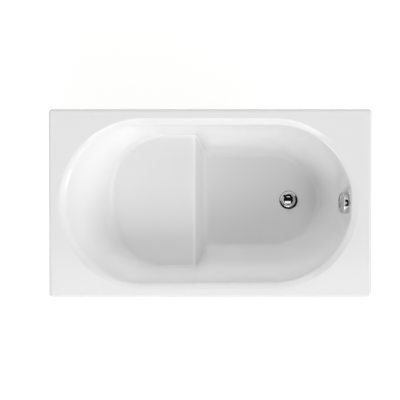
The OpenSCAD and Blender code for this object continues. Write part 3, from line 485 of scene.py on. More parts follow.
def thread(name, length, crest=0.005, root=0.00425, pitch=0.0015, steps=24):
    """Threaded rod along z: the rows follow the helix and meet one pitch on after a turn."""
    offsets, radii = (0.0, 0.15, 0.5, 0.65), (crest, crest, root, root)
    turns = int(length / pitch) + 3
    rows = [(pitch * (t + o - 1), r) for t in range(turns) for o, r in zip(offsets, radii)]
    verts = []
    for i in range(steps):
        a = 2 * math.pi * i / steps
        for z, r in rows:
            h = min(max(z + pitch * i / steps, 0.0), length)
            r = min(r, root - 0.0003 + min(h, length - h))
            verts.append((r * math.cos(a), r * math.sin(a), h))
    n, k = len(rows), len(offsets)
    faces = [(i * n + j, (i + 1) * n + j, (i + 1) * n + j + 1, i * n + j + 1)
             for i in range(steps - 1) for j in range(n - 1)]
    last = (steps - 1) * n
    faces += [(last + j, j + k, j + k + 1, last + j + 1) for j in range(n - 1 - k)]
    obj = tidy_mesh(new_object(name, verts, faces), 1e-5)
    bm = bmesh.new()
    bm.from_mesh(obj.data)
    bmesh.ops.holes_fill(bm, edges=[e for e in bm.edges if e.is_boundary])
    bmesh.ops.recalc_face_normals(bm, faces=bm.faces)
    bm.to_mesh(obj.data)
    bm.free()
    return sharpen(obj, 25)


def hex_nut(name, bore):
    """Nut with chamfered corners, standing on z = 0."""
    flat = NUT_AF / 2

    def hexagon(r, a):
        if r <= bore + 0.001:
            return r
        corner = flat / math.cos((a + math.pi / 6) % (math.pi / 3) - math.pi / 6)
        return min(corner, r)

    tip, low, high = flat * 0.96, 0.0013, NUT_H - 0.0013
    far = flat / math.cos(math.pi / 6)
    profile = [(bore + 0.0006, 0), (tip, 0), (far, low), (far, high), (tip, NUT_H),
               (bore + 0.0006, NUT_H), (bore, NUT_H - 0.0006), (bore, 0.0006)]
    return revolve(name, profile, 72, hexagon)


def screw(name, length, head_at):
    """Pan-head screw along z with a cross recess; the head ends at head_at, the tip at length."""
    h, r = SCREW_HEAD_H, SCREW_HEAD_R
    profile = [(0, head_at - h)] + [(r * math.sin(a), head_at - h * (0.35 + 0.65 * math.cos(a)))
                                    for a in np.linspace(0, math.pi / 2, 8)][1:]
    profile += [(r, head_at), (SCREW_R, head_at), (SCREW_R, length - 0.002), (0.0008, length),
                (0, length)]
    obj = revolve(name, profile, 32)
    for turn in (0, 90):
        slot = box((-0.0026, -0.0005, head_at - h - 0.001), (0.0026, 0.0005, head_at - h + 0.0014))
        boolean(obj, place(slot, Matrix.Rotation(math.radians(turn), 4, "Z")))
    return sharpen(obj)


def build_rails():
    rail("mid_rail", MID_X, WELL_RAIL_Z, WELL_RAIL_L, WELL_SCREWS, (-WELL_ROD_Y, WELL_ROD_Y))
    rail("end_rail", END_X, WELL_RAIL_Z, WELL_RAIL_L, WELL_SCREWS, (-WELL_ROD_Y, WELL_ROD_Y))
    rail("seat_rail", SEAT_X, SEAT_RAIL_Z, SEAT_RAIL_L, SEAT_SCREWS, ())
    for node, side in (("seat_post_front", -1), ("seat_post_rear", 1)):
        post = tube(node + "_tube", POST_W, POST_W, SEAT_RAIL_Z - WELL_RAIL_Z, ())
        place(post, Matrix.Translation((SEAT_X, side * SEAT_ROD_Y, WELL_RAIL_Z)))
        dressed(sharpen(post), node, "zinc_steel")
    places = [(x, y, WELL_RAIL_Z) for x in (MID_X, END_X) for y in WELL_SCREWS]
    places += [(SEAT_X, y, SEAT_RAIL_Z) for y in SEAT_SCREWS]
    one = screw("rail_screw_set", RAIL_H + SCREW_GRIP, RAIL_H - RAIL_WALL)
    all_screws = copies(one, [Matrix.Translation(p) @ Matrix.Rotation(i * 0.7, 4, "Z")
                              for i, p in enumerate(places)])
    dressed(all_screws, "rail_screws", "zinc_steel")
    for node in ("post_inserts", "rail_end_caps"):
        eased(node, "dark_plastic", 0.0012, 3)


def foot_pad():
    """Moulded pad with gussets between its hub and its rim."""
    r, hub, h = 0.025, ROD_R + 0.004, 0.016
    profile = rounded([(0, 0), (r - 0.002, 0), (r, 0.002), (r, 0.005), (r - 0.008, 0.0095),
                       (hub + 0.001, 0.0105), (hub, h), (ROD_R, h), (ROD_R, ROD_BOTTOM),
                       (0, ROD_BOTTOM)], [0, .001, .001, .002, .006, .004, .0012, .0004, 0, 0], 4)
    obj = revolve("foot_pad", profile, 64)
    for i in range(8):
        rib = prism("rib", [(hub - 0.002, 0.006), (r - 0.003, 0.005), (r - 0.004, 0.0068),
                            (hub, h - 0.0025), (hub - 0.002, h - 0.0025)], -0.001, 0.001)
        place(rib, Matrix.Rotation(i * math.pi / 4, 4, "Z") @ Matrix.Rotation(math.pi / 2, 4, "X"))
        boolean(obj, rib, "UNION")
    return sharpen(obj)


def build_feet():
    rod = thread("foot_rod", ROD_TOP - ROD_BOTTOM)
    pad = foot_pad()
    nuts = []
    for group, (x, y) in FEET.items():
        for end, side in (("front", -1), ("rear", 1)):
            at = Matrix.Translation((x, side * y, 0))
            for piece, kind, slot, lift in ((rod, "rod", "zinc_steel", ROD_BOTTOM),
                                            (pad, "pad", "dark_plastic", 0.0)):
                node = f"foot_{kind}_{group}_{end}"
                obj = bpy.data.objects.new(node + "_turned", piece.data.copy())
                bpy.context.scene.collection.objects.link(obj)
                place(obj, at @ Matrix.Translation((0, 0, lift)))
                dressed(obj, node, slot)
            low = WELL_RAIL_Z - NUT_H - (INSERT_LIP if group == "seat" else 0)
            levels = [low] if group == "seat" else [low, WELL_RAIL_Z + RAIL_H]
            nuts += [at @ Matrix.Translation((0, 0, z)) @ Matrix.Rotation(x * 9 + z * 5, 4, "Z")
                     for z in levels]
    bpy.data.objects.remove(rod)
    bpy.data.objects.remove(pad)
    dressed(copies(hex_nut("foot_nut_set", ROD_R + 0.0001), nuts), "foot_nuts", "zinc_steel")


BRACKETS = [(-0.380, HALF_W, 0), (0.380, HALF_W, 0), (-HALF_L, 0, 90), (HALF_L, 0, -90)]
BRACKET_W, BRACKET_H, BRACKET_T, BRACKET_LEG = 0.060, 0.045, 0.0025, 0.030
WALL_HOLE_X, WALL_HOLE_R, BRACKET_SCREW_L = 0.018, 0.0035, 0.016
LEG_SCREW_X, LEG_SCREW_Y = 0.015, -(BRACKET_LEG + SHELL_T) / 2
FLANGE_Z = RIM_H - FLANGE_H


def bracket():
    """Bent steel angle: y = 0 is the wall and z = 0 the underside of the batten."""
    t, bend = BRACKET_T, 0.003
    outline = rounded([(-BRACKET_LEG, 0), (0, 0), (0, -BRACKET_H), (-t, -BRACKET_H), (-t, -t),
                       (-BRACKET_LEG, -t)], [0.0004, bend, 0.0004, 0.0004, 0.001, 0.0004], 6)
    obj = prism("bracket_set", outline, -BRACKET_W / 2, BRACKET_W / 2)
    place(obj, Matrix(((0, 0, 1, 0), (1, 0, 0, 0), (0, 1, 0, 0), (0, 0, 0, 1))))
    w, r = BRACKET_W / 2, 0.006
    keep = [(-w, -0.01), (w, -0.01), (w, BRACKET_H), (-w, BRACKET_H)]
    front = prism("keep", rounded(keep, [0, 0, r, r]), -0.1, 0.1)
    boolean(obj, place(front, Matrix.Rotation(math.radians(-90), 4, "X")), "INTERSECT")
    keep = [(-w, -0.1), (w, -0.1), (w, BRACKET_LEG), (-w, BRACKET_LEG)]
    below = prism("keep", rounded(keep, [0, 0, r, r]), -0.1, 0.1)
    boolean(obj, place(below, Matrix.Rotation(math.pi, 4, "Z")), "INTERSECT")
    for side in (-1, 1):
        at = Matrix.Translation((side * WALL_HOLE_X, 0, -BRACKET_H * 0.6))
        boolean(obj, place(cylinder(WALL_HOLE_R, -0.01, 0.01), at @ Matrix.Rotation(math.pi / 2, 4, "X")))
        at = Matrix.Translation((side * LEG_SCREW_X, LEG_SCREW_Y, 0))
        boolean(obj, place(cylinder(SCREW_R, -0.01, 0.01), at))
    return sharpen(obj)


def build_brackets():
    turns = [Matrix.Translation((x, y, FLANGE_Z)) @ Matrix.Rotation(math.radians(a), 4, "Z")
             for x, y, a in BRACKETS]
    dressed(copies(bracket(), turns), "wall_brackets", "zinc_steel")
    one = screw("bracket_screw_set", BRACKET_SCREW_L, -BRACKET_T)
    spots = [m @ Matrix.Translation((side * LEG_SCREW_X, LEG_SCREW_Y, 0))
             @ Matrix.Rotation(side * 1.1 + i, 4, "Z") for i, m in enumerate(turns) for side in (-1, 1)]
    dressed(copies(one, spots), "bracket_screws", "zinc_steel")


# Waste, overflow and trap

THROAT_IN, THROAT_OUT = 0.022, 0.0245


def guide(z0):
    """Three arms and a hub that guide a shaft inside a throat."""
    obj = revolve("guide", [(0.00405, z0), (0.008, z0), (0.008, z0 + 0.010), (0.00405, z0 + 0.010)],
                  48)
    for i in range(3):
        arm = box((0.006, -0.0015, z0 + 0.0004), (THROAT_IN + 0.001, 0.0015, z0 + 0.0096))
        boolean(obj, place(arm, Matrix.Rotation(i * 2 * math.pi / 3, 4, "Z")), "UNION")
    return obj


def build_waste():
    f = FLOOR_Z
    profile = rounded([(THROAT_IN, f - .035), (THROAT_OUT, f - .035), (THROAT_OUT, f + .002),
                       (.0345, f + .002), (.0345, f), (.0375, f), (.0375, f + .0026),
                       (.0368, f + .0045), (.0354, f + .0045), (.0270, f + .0027),
                       (THROAT_IN, f + .0026)],
                      [0, 0, .0003, 0, 0, .0002, .0008, .0006, .0009, .0015, .0006], 6)
    ring = revolve("waste_ring", profile, 128)
    boolean(ring, guide(f - 0.024), "UNION")
    dressed(place(sharpen(ring), AT_WASTE), "waste_flange", "chrome")

    base, r, side, crown = 0.1833, 0.028, 0.002, 0.004
    big = (r * r + crown * crown) / (2 * crown)
    arc = [(x, base + side + crown - big + math.sqrt(big * big - x * x))
           for x in np.linspace(r - 0.0016, 0, 24)]
    edge = [(r - 0.0005, base), (r, base + 0.0005), (r, base + side - 0.0008),
            (r - 0.0004, base + side), (r - 0.001, base + side + 0.00022)]
    plug = revolve("plug_crown", [(0, base)] + edge + arc, 128)
    dressed(place(plug, AT_WASTE), "plug_cap", "chrome")
    for node, slot in (("waste_top_seal", "seal_rubber"), ("waste_bottom_seal", "seal_rubber"),
                       ("plug_seal", "seal_rubber"), ("plug_stem", "pale_plastic"),
                       ("lift_lever", "pale_plastic"), ("trap_washer", "seal_rubber")):
        eased(node, slot, 0.0003)
    for node in ("waste_body", "lever_cover", "trap_nut", "trap_cap"):
        eased(node, "dark_plastic", 0.0008, 3)
    eased("trap_body", "white_plastic", 0.001, 3)


def build_overflow():
    profile = rounded([(THROAT_IN, -.022), (THROAT_OUT, -.022), (THROAT_OUT, 0), (.035, 0),
                       (.035, .0015), (.034, .003), (THROAT_IN, .003)],
                      [0, 0, 0, 0, .0004, .0006, .0005], 5)
    ring = revolve("overflow_ring", profile, 128)
    boolean(ring, guide(-0.016), "UNION")
    dressed(place(sharpen(ring), AT_OVERFLOW), "overflow_flange", "chrome")

    r, back, front, wall = 0.040, 0.004, 0.021, 0.003
    profile = rounded([(0, .016), (.004, .016), (.004, .007), (.007, .007), (.007, front - wall),
                       (r - wall, front - wall), (r - wall, back), (r, back), (r, front - .0022),
                       (r - .0022, front), (r - .012, front + .0006), (0, front + .001)],
                      [0, 0, .0003, .0003, .001, .002, .0006, .0006, .0022, .0022, .004, 0], 6)
    knob = revolve("knob_disc", profile, 160)
    mouth = rounded([(-r - .001, -.022), (-.027, -.022), (-.027, .022), (-r - .001, .022)],
                    [0, .003, .003, 0])
    boolean(knob, prism("mouth", mouth, back - .001, back + .006))
    dressed(place(sharpen(knob), AT_OVERFLOW), "control_knob", "chrome")
    eased("control_spindle", "pale_plastic", 0.0004)
    eased("overflow_seal", "seal_rubber", 0.0004)
    eased("overflow_body", "dark_plastic", 0.0008, 3)


def on_wall(v):
    return AT_OVERFLOW @ Vector(v)


def hung_curve(start, end, down, along, count):
    """Route that leaves the overflow down the wall and enters the waste level."""
    fall, reach = start.z - end.z, start.x - end.x
    p = [start, start - UP_WALL * down * fall, end + Vector((along * reach, 0, 0)), end]
    ts = np.linspace(0, 1, count).tolist()
    return [(1 - t) ** 3 * p[0] + 3 * t * (1 - t) ** 2 * p[1] + 3 * t * t * (1 - t) * p[2]
            + t ** 3 * p[3] for t in ts]


def swept(name, path, radii, sides):
    """Tube along a path, one radius for each point."""
    verts, faces = [], []
    n = len(path)
    for i, p in enumerate(path):
        d = (path[min(i + 1, n - 1)] - path[max(i - 1, 0)]).normalized()
        u = Vector((0, 1, 0)).cross(d).normalized()
        w = d.cross(u)
        for k in range(sides):
            a = 2 * math.pi * k / sides
            verts.append(p + radii[i] * (math.cos(a) * u + math.sin(a) * w))
    for i in range(n - 1):
        for k in range(sides):
            a, b = i * sides + k, i * sides + (k + 1) % sides
            faces.append((a, b, b + sides, a + sides))
    faces += [tuple(range(sides)), tuple(range((n - 1) * sides, n * sides))]
    return sharpen(tidy_mesh(new_object(name, verts, faces)), 50)


def path_length(path):
    return sum((b - a).length for a, b in zip(path, path[1:]))


# Ends of the hose and the cable: the upper ones in the overflow's frame, the hose's lower
# one from the waste's axis, the cable's in the room; then the hose nuts, the same way
HOSE_TOP, HOSE_END = (-0.058, 0, -0.032), (0.058, 0, 0.107)
CABLE_TOP, CABLE_END = (-0.040, 0.020, -0.032), (0.325, 0.038, 0.113)
NUT_TOP, NUT_END = (-0.046, 0, -0.032), (0.046, 0, 0.107)
CABLE_R = 0.0025


def build_hose_and_cable():
    start, end = on_wall(HOSE_TOP), WASTE + Vector(HOSE_END)
    path = hung_curve(start, end, 0.6, 0.7, 440)
    length = path_length(path)
    pitch, cuff, crest, root = 0.0052, 0.024, 0.013, 0.0112
    radii, done = [], 0.0
    for i, p in enumerate(path):
        done += (p - path[i - 1]).length if i else 0
        if min(done, length - done) < cuff:
            radii.append(crest)
        else:
            wave = 0.5 + 0.5 * math.cos(2 * math.pi * (done - cuff) / pitch)
            radii.append(root + (crest - root) * min(1, 1.5 * wave))
    hose = swept("corrugated_hose", path, radii, 32)
    dressed(hose, "overflow_hose", "white_plastic")

    start, end = on_wall(CABLE_TOP), Vector(CABLE_END)
    path = hung_curve(start, end, 0.7, 0.95, 160)
    cable = swept("cable_sheath", path, [CABLE_R] * len(path), 16)
    dressed(cable, "control_cable", "cable_sheath")

    flutes, groove, plain_r = 18, 0.0007, 0.0155

    def fluted(r, a):
        return r - (groove if r > plain_r and math.cos(flutes * a) < -0.2 else 0)

    profile = rounded([(.0131, 0), (.0165, 0), (.0165, .016), (.0131, .016)], [0, .0012, .0012, 0])
    nut = revolve("hose_nut_set", profile, 144, fluted)
    ends = [AT_OVERFLOW @ Matrix.Translation(NUT_TOP)
            @ Matrix.Rotation(-math.pi / 2, 4, "Y"),
            Matrix.Translation(WASTE + Vector(NUT_END))
            @ Matrix.Rotation(math.pi / 2, 4, "Y")]
    dressed(sharpen(copies(nut, ends)), "hose_clips", "dark_plastic")


def build_boards():
    for node in ("base_board", "seat_board"):
        eased(node, "chipboard", 0.0004)
    for node in ("batten_front", "batten_rear", "batten_seat_end", "batten_waste_end"):
        eased(node, "batten_wood", 0.0008)


# Materials: each is built from a few noise layers in object space, in metres

class Shader:
    """A material's node tree, with short calls for its layers."""

    def __init__(self, name, color, rough, metal=0.0, ior=1.5):
        self.mat = bpy.data.materials.new(name)
        self.mat.use_nodes = True
        self.tree = self.mat.node_tree
        self.bsdf = self.tree.nodes["Principled BSDF"]
        self.bsdf.inputs["Base Color"].default_value = (*color, 1)
        self.bsdf.inputs["Roughness"].default_value = rough
        self.bsdf.inputs["Metallic"].default_value = metal
        self.bsdf.inputs["IOR"].default_value = ior
        self.coord = self.node("ShaderNodeTexCoord").outputs["Object"]
        self.normal = None

    def node(self, kind, **values):
        n = self.tree.nodes.new(kind)
        for key, value in values.items():
            setattr(n, key, value)
        return n

    def link(self, a, b):
        self.tree.links.new(a, b)

    def stretched(self, scale, turn=(0, 0, 0)):
        n = self.node("ShaderNodeMapping")
        n.inputs["Scale"].default_value = scale
        n.inputs["Rotation"].default_value = turn
        self.link(self.coord, n.inputs["Vector"])
        return n.outputs["Vector"]

    def noise(self, scale, detail=3.0, rough=0.5, vector=None, warp=0.0):
        n = self.node("ShaderNodeTexNoise")
        n.inputs["Scale"].default_value = scale
        n.inputs["Detail"].default_value = detail
        n.inputs["Roughness"].default_value = rough
        n.inputs["Distortion"].default_value = warp
        self.link(vector or self.coord, n.inputs["Vector"])
        return n.outputs["Fac"]

    def cells(self, scale, feature="F1", vector=None, output="Distance"):
        n = self.node("ShaderNodeTexVoronoi", feature=feature)
        n.inputs["Scale"].default_value = scale
        self.link(vector or self.coord, n.inputs["Vector"])
        return n.outputs[output]

    def ramp(self, value, stops):
        """Value to a grey or a colour through (position, colour) stops."""
        n = self.node("ShaderNodeValToRGB")
        ramp = n.color_ramp
        while len(ramp.elements) < len(stops):
            ramp.elements.new(0.5)
        for e, (at, color) in zip(ramp.elements, stops):
            e.position = at
            e.color = (*color, 1) if isinstance(color, tuple) else (color,) * 3 + (1,)
        self.link(value, n.inputs["Fac"])
        return n.outputs["Color"]

    def mix(self, a, b, share):
        n = self.node("ShaderNodeMix", data_type="RGBA")
        for socket, value in ((n.inputs["Factor"], share), (n.inputs[6], a), (n.inputs[7], b)):
            if isinstance(value, (int, float)):
                socket.default_value = value
            elif isinstance(value, tuple):
                socket.default_value = (*value, 1)
            else:
                self.link(value, socket)
        return n.outputs[2]

    def color(self, value):
        self.link(value, self.bsdf.inputs["Base Color"])

    def rough(self, value, low, high):
        n = self.node("ShaderNodeMapRange")
        n.inputs["To Min"].default_value = low
        n.inputs["To Max"].default_value = high
        self.link(value, n.inputs["Value"])
        self.link(n.outputs["Result"], self.bsdf.inputs["Roughness"])

    def bump(self, height, strength, depth):
        n = self.node("ShaderNodeBump")
        n.inputs["Strength"].default_value = strength
        n.inputs["Distance"].default_value = depth
        self.link(height, n.inputs["Height"])
        if self.normal:
            self.link(self.normal, n.inputs["Normal"])
        self.normal = n.outputs["Normal"]
        self.link(self.normal, self.bsdf.inputs["Normal"])


def acrylic():
    s = Shader("white_acrylic", ACRYLIC_WHITE, 0.1, ior=1.49)
    s.color(s.ramp(s.noise(4.0, 5.0), [(0.3, ACRYLIC_WHITE),
                                      (0.7, tuple(c * 0.992 for c in ACRYLIC_WHITE))]))
    s.rough(s.noise(14.0, 8.0, 0.65), 0.05, 0.12)
    s.bump(s.noise(90.0, 2.0), 0.06, 0.0004)
    s.bump(s.noise(12.0, 2.0), 0.05, 0.002)
    return s.mat


def laminate():
    s = Shader("glass_fibre_laminate", (0.72, 0.68, 0.52), 0.5)
    strands = s.mix(s.cells(260, "DISTANCE_TO_EDGE", s.stretched((1, 0.12, 1), (0, 0, 0.6))),
                    s.cells(240, "DISTANCE_TO_EDGE", s.stretched((0.14, 1, 0.5), (0.5, 0, 1.3))), 0.5)
    tone = s.ramp(s.noise(16, 6.0, 0.6, warp=0.4), [(0.25, (0.55, 0.50, 0.33)),
                                                  (0.5, (0.70, 0.66, 0.49)),
                                                  (0.75, (0.80, 0.78, 0.66))])
    fibres = s.ramp(strands, [(0.0, (0.86, 0.85, 0.78)), (0.10, (0.62, 0.58, 0.42))])
    s.color(s.mix(tone, fibres, 0.45))
    s.rough(s.noise(45, 4.0), 0.28, 0.72)
    s.bump(strands, 0.5, 0.0006)
    s.bump(s.noise(60, 5.0, 0.6), 0.6, 0.0012)
    return s.mat


def chipboard():
    s = Shader("chipboard", (0.58, 0.43, 0.26), 0.85)
    chips = s.cells(230, vector=s.stretched((1, 0.45, 1.6), (0, 0, 0.4)), output="Color")
    more = s.cells(420, vector=s.stretched((0.5, 1, 1.4), (0, 0, 1.1)), output="Color")
    light = s.ramp(chips, [(0.1, (0.30, 0.19, 0.10)), (0.45, (0.52, 0.37, 0.21)),
                           (0.9, (0.74, 0.58, 0.37))])
    dark = s.ramp(more, [(0.1, (0.38, 0.26, 0.14)), (0.8, (0.66, 0.50, 0.31))])
    s.color(s.mix(light, dark, 0.45))
    s.rough(s.noise(180, 4.0), 0.72, 0.95)
    s.bump(chips, 0.5, 0.0004)
    s.bump(s.noise(300, 4.0), 0.4, 0.0003)
    return s.mat


def batten_wood():
    s = Shader("sawn_softwood", (0.66, 0.48, 0.29), 0.75)
    along = s.noise(9, 4.0, 0.6, s.stretched((0.22, 1.0, 1.0)), 0.6)
    rings = s.node("ShaderNodeTexWave", wave_type="RINGS", rings_direction="X")
    rings.inputs["Scale"].default_value = 26
    rings.inputs["Distortion"].default_value = 7
    rings.inputs["Detail"].default_value = 3
    s.link(s.stretched((0.10, 1.0, 1.0)), rings.inputs["Vector"])
    grain = rings.outputs["Fac"]
    body = s.ramp(grain, [(0.15, (0.44, 0.27, 0.13)), (0.5, (0.68, 0.49, 0.29)),
                          (0.9, (0.78, 0.61, 0.40))])
    s.color(s.mix(body, s.ramp(along, [(0.3, (0.50, 0.34, 0.19)), (0.7, (0.80, 0.63, 0.42))]), 0.4))
    saw = s.noise(260, 3.0, 0.6, s.stretched((1.0, 0.1, 0.1)))
    s.rough(saw, 0.62, 0.9)
    s.bump(saw, 0.5, 0.0003)
    s.bump(grain, 0.3, 0.0003)
    return s.mat


def zinc_steel():
    s = Shader("zinc_plated_steel", (0.60, 0.61, 0.62), 0.35, 1.0)
    flakes = s.cells(120, output="Color", vector=s.stretched((1, 1, 1), (0.3, 0.4, 0.1)))
    tint = s.ramp(flakes, [(0.1, (0.50, 0.52, 0.55)), (0.5, (0.62, 0.63, 0.64)),
                           (0.9, (0.70, 0.70, 0.68))])
    s.color(s.mix(tint, s.ramp(s.noise(7, 6.0, 0.6), [(0.3, (0.52, 0.53, 0.55)),
                                                     (0.7, (0.68, 0.67, 0.62))]), 0.5))
    s.rough(s.mix(flakes, s.noise(60, 5.0, 0.7), 0.6), 0.22, 0.55)
    s.bump(s.noise(420, 3.0), 0.15, 0.0001)
    return s.mat


def chrome():
    s = Shader("chrome", (0.60, 0.60, 0.61), 0.05, 1.0)
    s.rough(s.noise(60, 6.0, 0.7), 0.02, 0.07)
    s.bump(s.noise(30, 2.0), 0.02, 0.0004)
    return s.mat


def moulded(name, color, low, high, grain):
    """Moulded plastic with fine grain and slight flow marks."""
    s = Shader(name, color, low)
    lighter = tuple(min(1.0, c * 1.25 + 0.004) for c in color)
    s.color(s.ramp(s.noise(18, 5.0, 0.6, warp=0.5), [(0.3, color), (0.75, lighter)]))
    s.rough(s.noise(85, 5.0, 0.6), low, high)
    s.bump(s.noise(1400, 2.0), grain, 0.0001)
    s.bump(s.noise(40, 3.0), 0.1, 0.0005)
    return s.mat


ACRYLIC_WHITE = (0.94, 0.936, 0.938)
MATERIALS = {
    "acrylic": acrylic(),
    "laminate": laminate(),
    "chipboard": chipboard(),
    "batten_wood": batten_wood(),
    "zinc_steel": zinc_steel(),
    "dark_plastic": moulded("black_polypropylene", (0.022, 0.022, 0.024), 0.38, 0.6, 0.35),
    "chrome": chrome(),
    "seal_rubber": moulded("seal_rubber", (0.016, 0.016, 0.016), 0.6, 0.85, 0.5),
    "pale_plastic": moulded("natural_acetal", (0.78, 0.75, 0.66), 0.28, 0.45, 0.15),
    "cable_sheath": moulded("cable_sheath", (0.03, 0.03, 0.033), 0.3, 0.5, 0.2),
    "white_plastic": moulded("white_polypropylene", (0.80, 0.80, 0.77), 0.32, 0.5, 0.2),
}


# Stage: camera over the tub, soft suns all round it, a banded dome, a white floor, and
# cards that only polished surfaces show

# Frame in pixels, metres a pixel at the rim, and where the rim's middle lies in the frame
FRAME, PIXEL, MIDDLE_X, MIDDLE_Y = 400, 0.003715, 210.3, 203.4
CAMERA_UP, CAMERA_Y, SENSOR = 4.83, 0.150, 36
AIM = Vector(((FRAME / 2 - MIDDLE_X) * PIXEL, (MIDDLE_Y - FRAME / 2) * PIXEL, RIM_H))


def build_camera():
    lens = bpy.data.cameras.new("camera")
    lens.sensor_width = SENSOR
    lens.lens = SENSOR * CAMERA_UP / (FRAME * PIXEL)
    lens.clip_end = 60
    cam = bpy.data.objects.new("camera", lens)
    cam.location = (AIM.x, CAMERA_Y, RIM_H + CAMERA_UP)
    back = (cam.location - AIM).normalized()
    right = Vector((1, 0, 0))
    up = back.cross(right).normalized()
    cam.rotation_euler = Matrix((right, up, back)).transposed().to_euler()
    bpy.context.scene.collection.objects.link(cam)
    bpy.context.scene.camera = cam


def seen_mix(tree, lit, shown):
    """Shows one shader to the camera, metal and glass, and the lit one to all else."""
    path = tree.nodes.new("ShaderNodeLightPath")
    seen = path.outputs["Is Camera Ray"]
    for ray in ("Is Glossy Ray", "Is Transmission Ray"):
        either = tree.nodes.new("ShaderNodeMath")
        either.operation = "MAXIMUM"
        tree.links.new(seen, either.inputs[0])
        tree.links.new(path.outputs[ray], either.inputs[1])
        seen = either.outputs[0]
    mix = tree.nodes.new("ShaderNodeMixShader")
    tree.links.new(seen, mix.inputs["Fac"])
    tree.links.new(lit, mix.inputs[1])
    tree.links.new(shown, mix.inputs[2])
    return mix.outputs[0]


def build_world():
    scene = bpy.context.scene
    scene.view_settings.view_transform = "Standard"
    world = bpy.data.worlds.new("studio")
    scene.world = world
    world.use_nodes = True
    tree = world.node_tree
    tree.nodes.clear()
    out = tree.nodes.new("ShaderNodeOutputWorld")
    coord = tree.nodes.new("ShaderNodeTexCoord")
    split = tree.nodes.new("ShaderNodeSeparateXYZ")
    ramp = tree.nodes.new("ShaderNodeValToRGB")
    stops = ramp.color_ramp.elements
    stops.remove(stops[1])
    for at, level in DOME:
        stop = stops.new(at) if at else stops[0]
        stop.color = (level, level, level, 1)
    dome = tree.nodes.new("ShaderNodeBackground")
    tree.links.new(coord.outputs["Generated"], split.inputs[0])
    tree.links.new(split.outputs["Z"], ramp.inputs["Fac"])
    tree.links.new(ramp.outputs["Color"], dome.inputs["Color"])
    white = tree.nodes.new("ShaderNodeBackground")
    white.inputs["Color"].default_value = (1, 1, 1, 1)
    white.inputs["Strength"].default_value = SEEN_WHITE
    tree.links.new(seen_mix(tree, dome.outputs[0], white.outputs[0]), out.inputs[0])


def build_lamps():
    for name, energy, elevation, azimuth, width in LAMPS:
        sun = bpy.data.lights.new(name, "SUN")
        sun.energy, sun.angle = energy, math.radians(width)
        lamp = bpy.data.objects.new(name, sun)
        a, e = math.radians(azimuth), math.radians(elevation)
        toward = Vector((math.sin(a) * math.cos(e), -math.cos(a) * math.cos(e), math.sin(e)))
        lamp.rotation_mode = "QUATERNION"
        lamp.rotation_quaternion = toward.to_track_quat("Z", "Y")
        lamp.visible_glossy = name not in MATT_LAMPS
        bpy.context.scene.collection.objects.link(lamp)


def stage_piece(name, points, faces):
    obj = new_object(name, points, faces, smooth=False)
    mat = bpy.data.materials.new(name)
    mat.use_nodes = True
    mat.node_tree.nodes.clear()
    obj.data.materials.append(mat)
    return obj, mat.node_tree


def card_of(name, low, high):
    """Flat rectangle between two corners, lying or facing the tub along Y."""
    (x0, y0, z0), (x1, y1, z1) = low, high
    corners = [(x0, y0, z0), (x1, y0, z0), (x1, y1, z1), (x0, y1, z1)]
    return stage_piece(name, corners, [(0, 1, 2, 3)])


def ring_card():
    """Part of a flat ring centred past the waste end, open to the rear."""
    x, inner, outer, z, half_turn = RING
    steps = 24
    turns = [math.radians(half_turn) * (2 * i / steps - 1) for i in range(steps + 1)]
    points = [(x + r * math.sin(a), -r * math.cos(a), z) for a in turns for r in (inner, outer)]
    return stage_piece("studio_ring", points,
                       [(2 * i, 2 * i + 1, 2 * i + 3, 2 * i + 2) for i in range(steps)])


def build_floor():
    """White floor that keeps the object's shadow."""
    tree = card_of("studio_floor", (-FLOOR_REACH, -FLOOR_REACH, 0), (FLOOR_REACH, FLOOR_REACH, 0))[1]
    out = tree.nodes.new("ShaderNodeOutputMaterial")
    matt = tree.nodes.new("ShaderNodeBsdfDiffuse")
    matt.inputs["Color"].default_value = (FLOOR_MATT,) * 3 + (1,)
    shade = tree.nodes.new("ShaderNodeBsdfDiffuse")
    shade.inputs["Color"].default_value = (FLOOR_SHADE,) * 3 + (1,)
    white = tree.nodes.new("ShaderNodeEmission")
    white.inputs["Strength"].default_value = FLOOR_WHITE
    both = tree.nodes.new("ShaderNodeAddShader")
    tree.links.new(white.outputs[0], both.inputs[0])
    tree.links.new(shade.outputs[0], both.inputs[1])
    tree.links.new(seen_mix(tree, matt.outputs[0], both.outputs[0]), out.inputs[0])


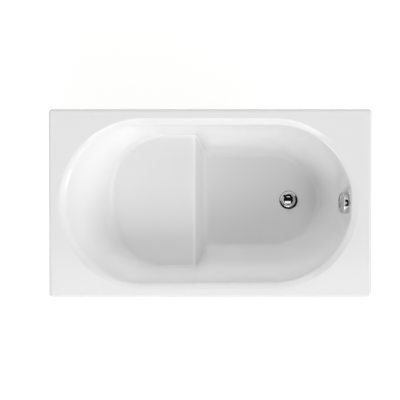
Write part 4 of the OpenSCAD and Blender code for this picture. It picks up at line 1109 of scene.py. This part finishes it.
def build_cards():
    """Dark studio ceiling and its panels, seen only in polished surfaces."""
    cards = [(*card_of(name, low, high), level) for name, low, high, level in CARDS]
    for card, tree, level in cards + [(*ring_card(), RING_LEVEL)]:
        out = tree.nodes.new("ShaderNodeOutputMaterial")
        glow = tree.nodes.new("ShaderNodeEmission")
        glow.inputs["Strength"].default_value = level
        tree.links.new(glow.outputs[0], out.inputs[0])
        card.visible_camera = card.visible_diffuse = card.visible_shadow = False


# Dome: (height of the direction, 0 at the horizon and 1 straight up, level)
DOME = [(0.0, 0.0), (0.18, 0.0), (0.22, 0.27), (0.42, 0.27), (0.46, 0.52),
        (0.70, 0.52), (0.74, 0.13), (1.0, 0.13)]
# Suns: (name, energy, elevation, azimuth and width in degrees)
LAMPS = [("key", 0.79, 52, 8, 22), ("front", 0.17, 32, 8, 20), ("rear", 0.41, 56, 180, 24),
         ("side", 0.31, 46, 75, 20), ("low_left", 0.44, 20, 315, 20),
         ("low_right", 0.45, 22, 42, 24), ("low_side", 0.42, 11, 70, 18),
         ("low_rear", 0.47, 20, 180, 16), ("low_seat", 0.10, 20, 270, 20)]
# Suns that polished surfaces don't show; the cards stand for them there
MATT_LAMPS = ("key", "front", "rear", "low_rear")
FLOOR_REACH, FLOOR_MATT, FLOOR_SHADE, FLOOR_WHITE, SEEN_WHITE = 5, 0.8, 0.25, 0.85, 1.0
# Cards: (name, low corner, high corner, level), then the ring's middle, its inner and
# outer radius, its height and half its turn in degrees
CARDS = [("studio_ceiling", (-3.4, -5.3, 7.0), (5.6, 5.8, 7.0), 0.008),
         ("studio_key", (-2.2, -5.1, 6.95), (3.0, -3.9, 6.95), 4.5),
         ("studio_rim", (-2.2, 3.9, 6.95), (3.0, 5.0, 6.95), 3.0),
         ("studio_panel_front", (-1.4, -2.05, 6.95), (2.0, -0.7, 6.95), 1.45),
         ("studio_panel_rear", (-0.3, 1.5, 6.95), (1.5, 2.05, 6.95), 1.0),
         ("studio_softbox", (1.6, -6.0, 2.0), (5.6, -6.0, 5.9), 1.7),
         ("studio_strip_rear", (2.2, 6.0, 3.6), (5.2, 6.0, 4.4), 1.5)]
RING, RING_LEVEL = (0.78, 2.9, 3.6, 6.9, 122), 0.85

build_tub()
build_boards()
build_rails()
build_feet()
build_brackets()
build_waste()
build_overflow()
build_hose_and_cable()
build_camera()
build_world()
build_lamps()
build_floor()
build_cards()
bpy.context.view_layer.update()
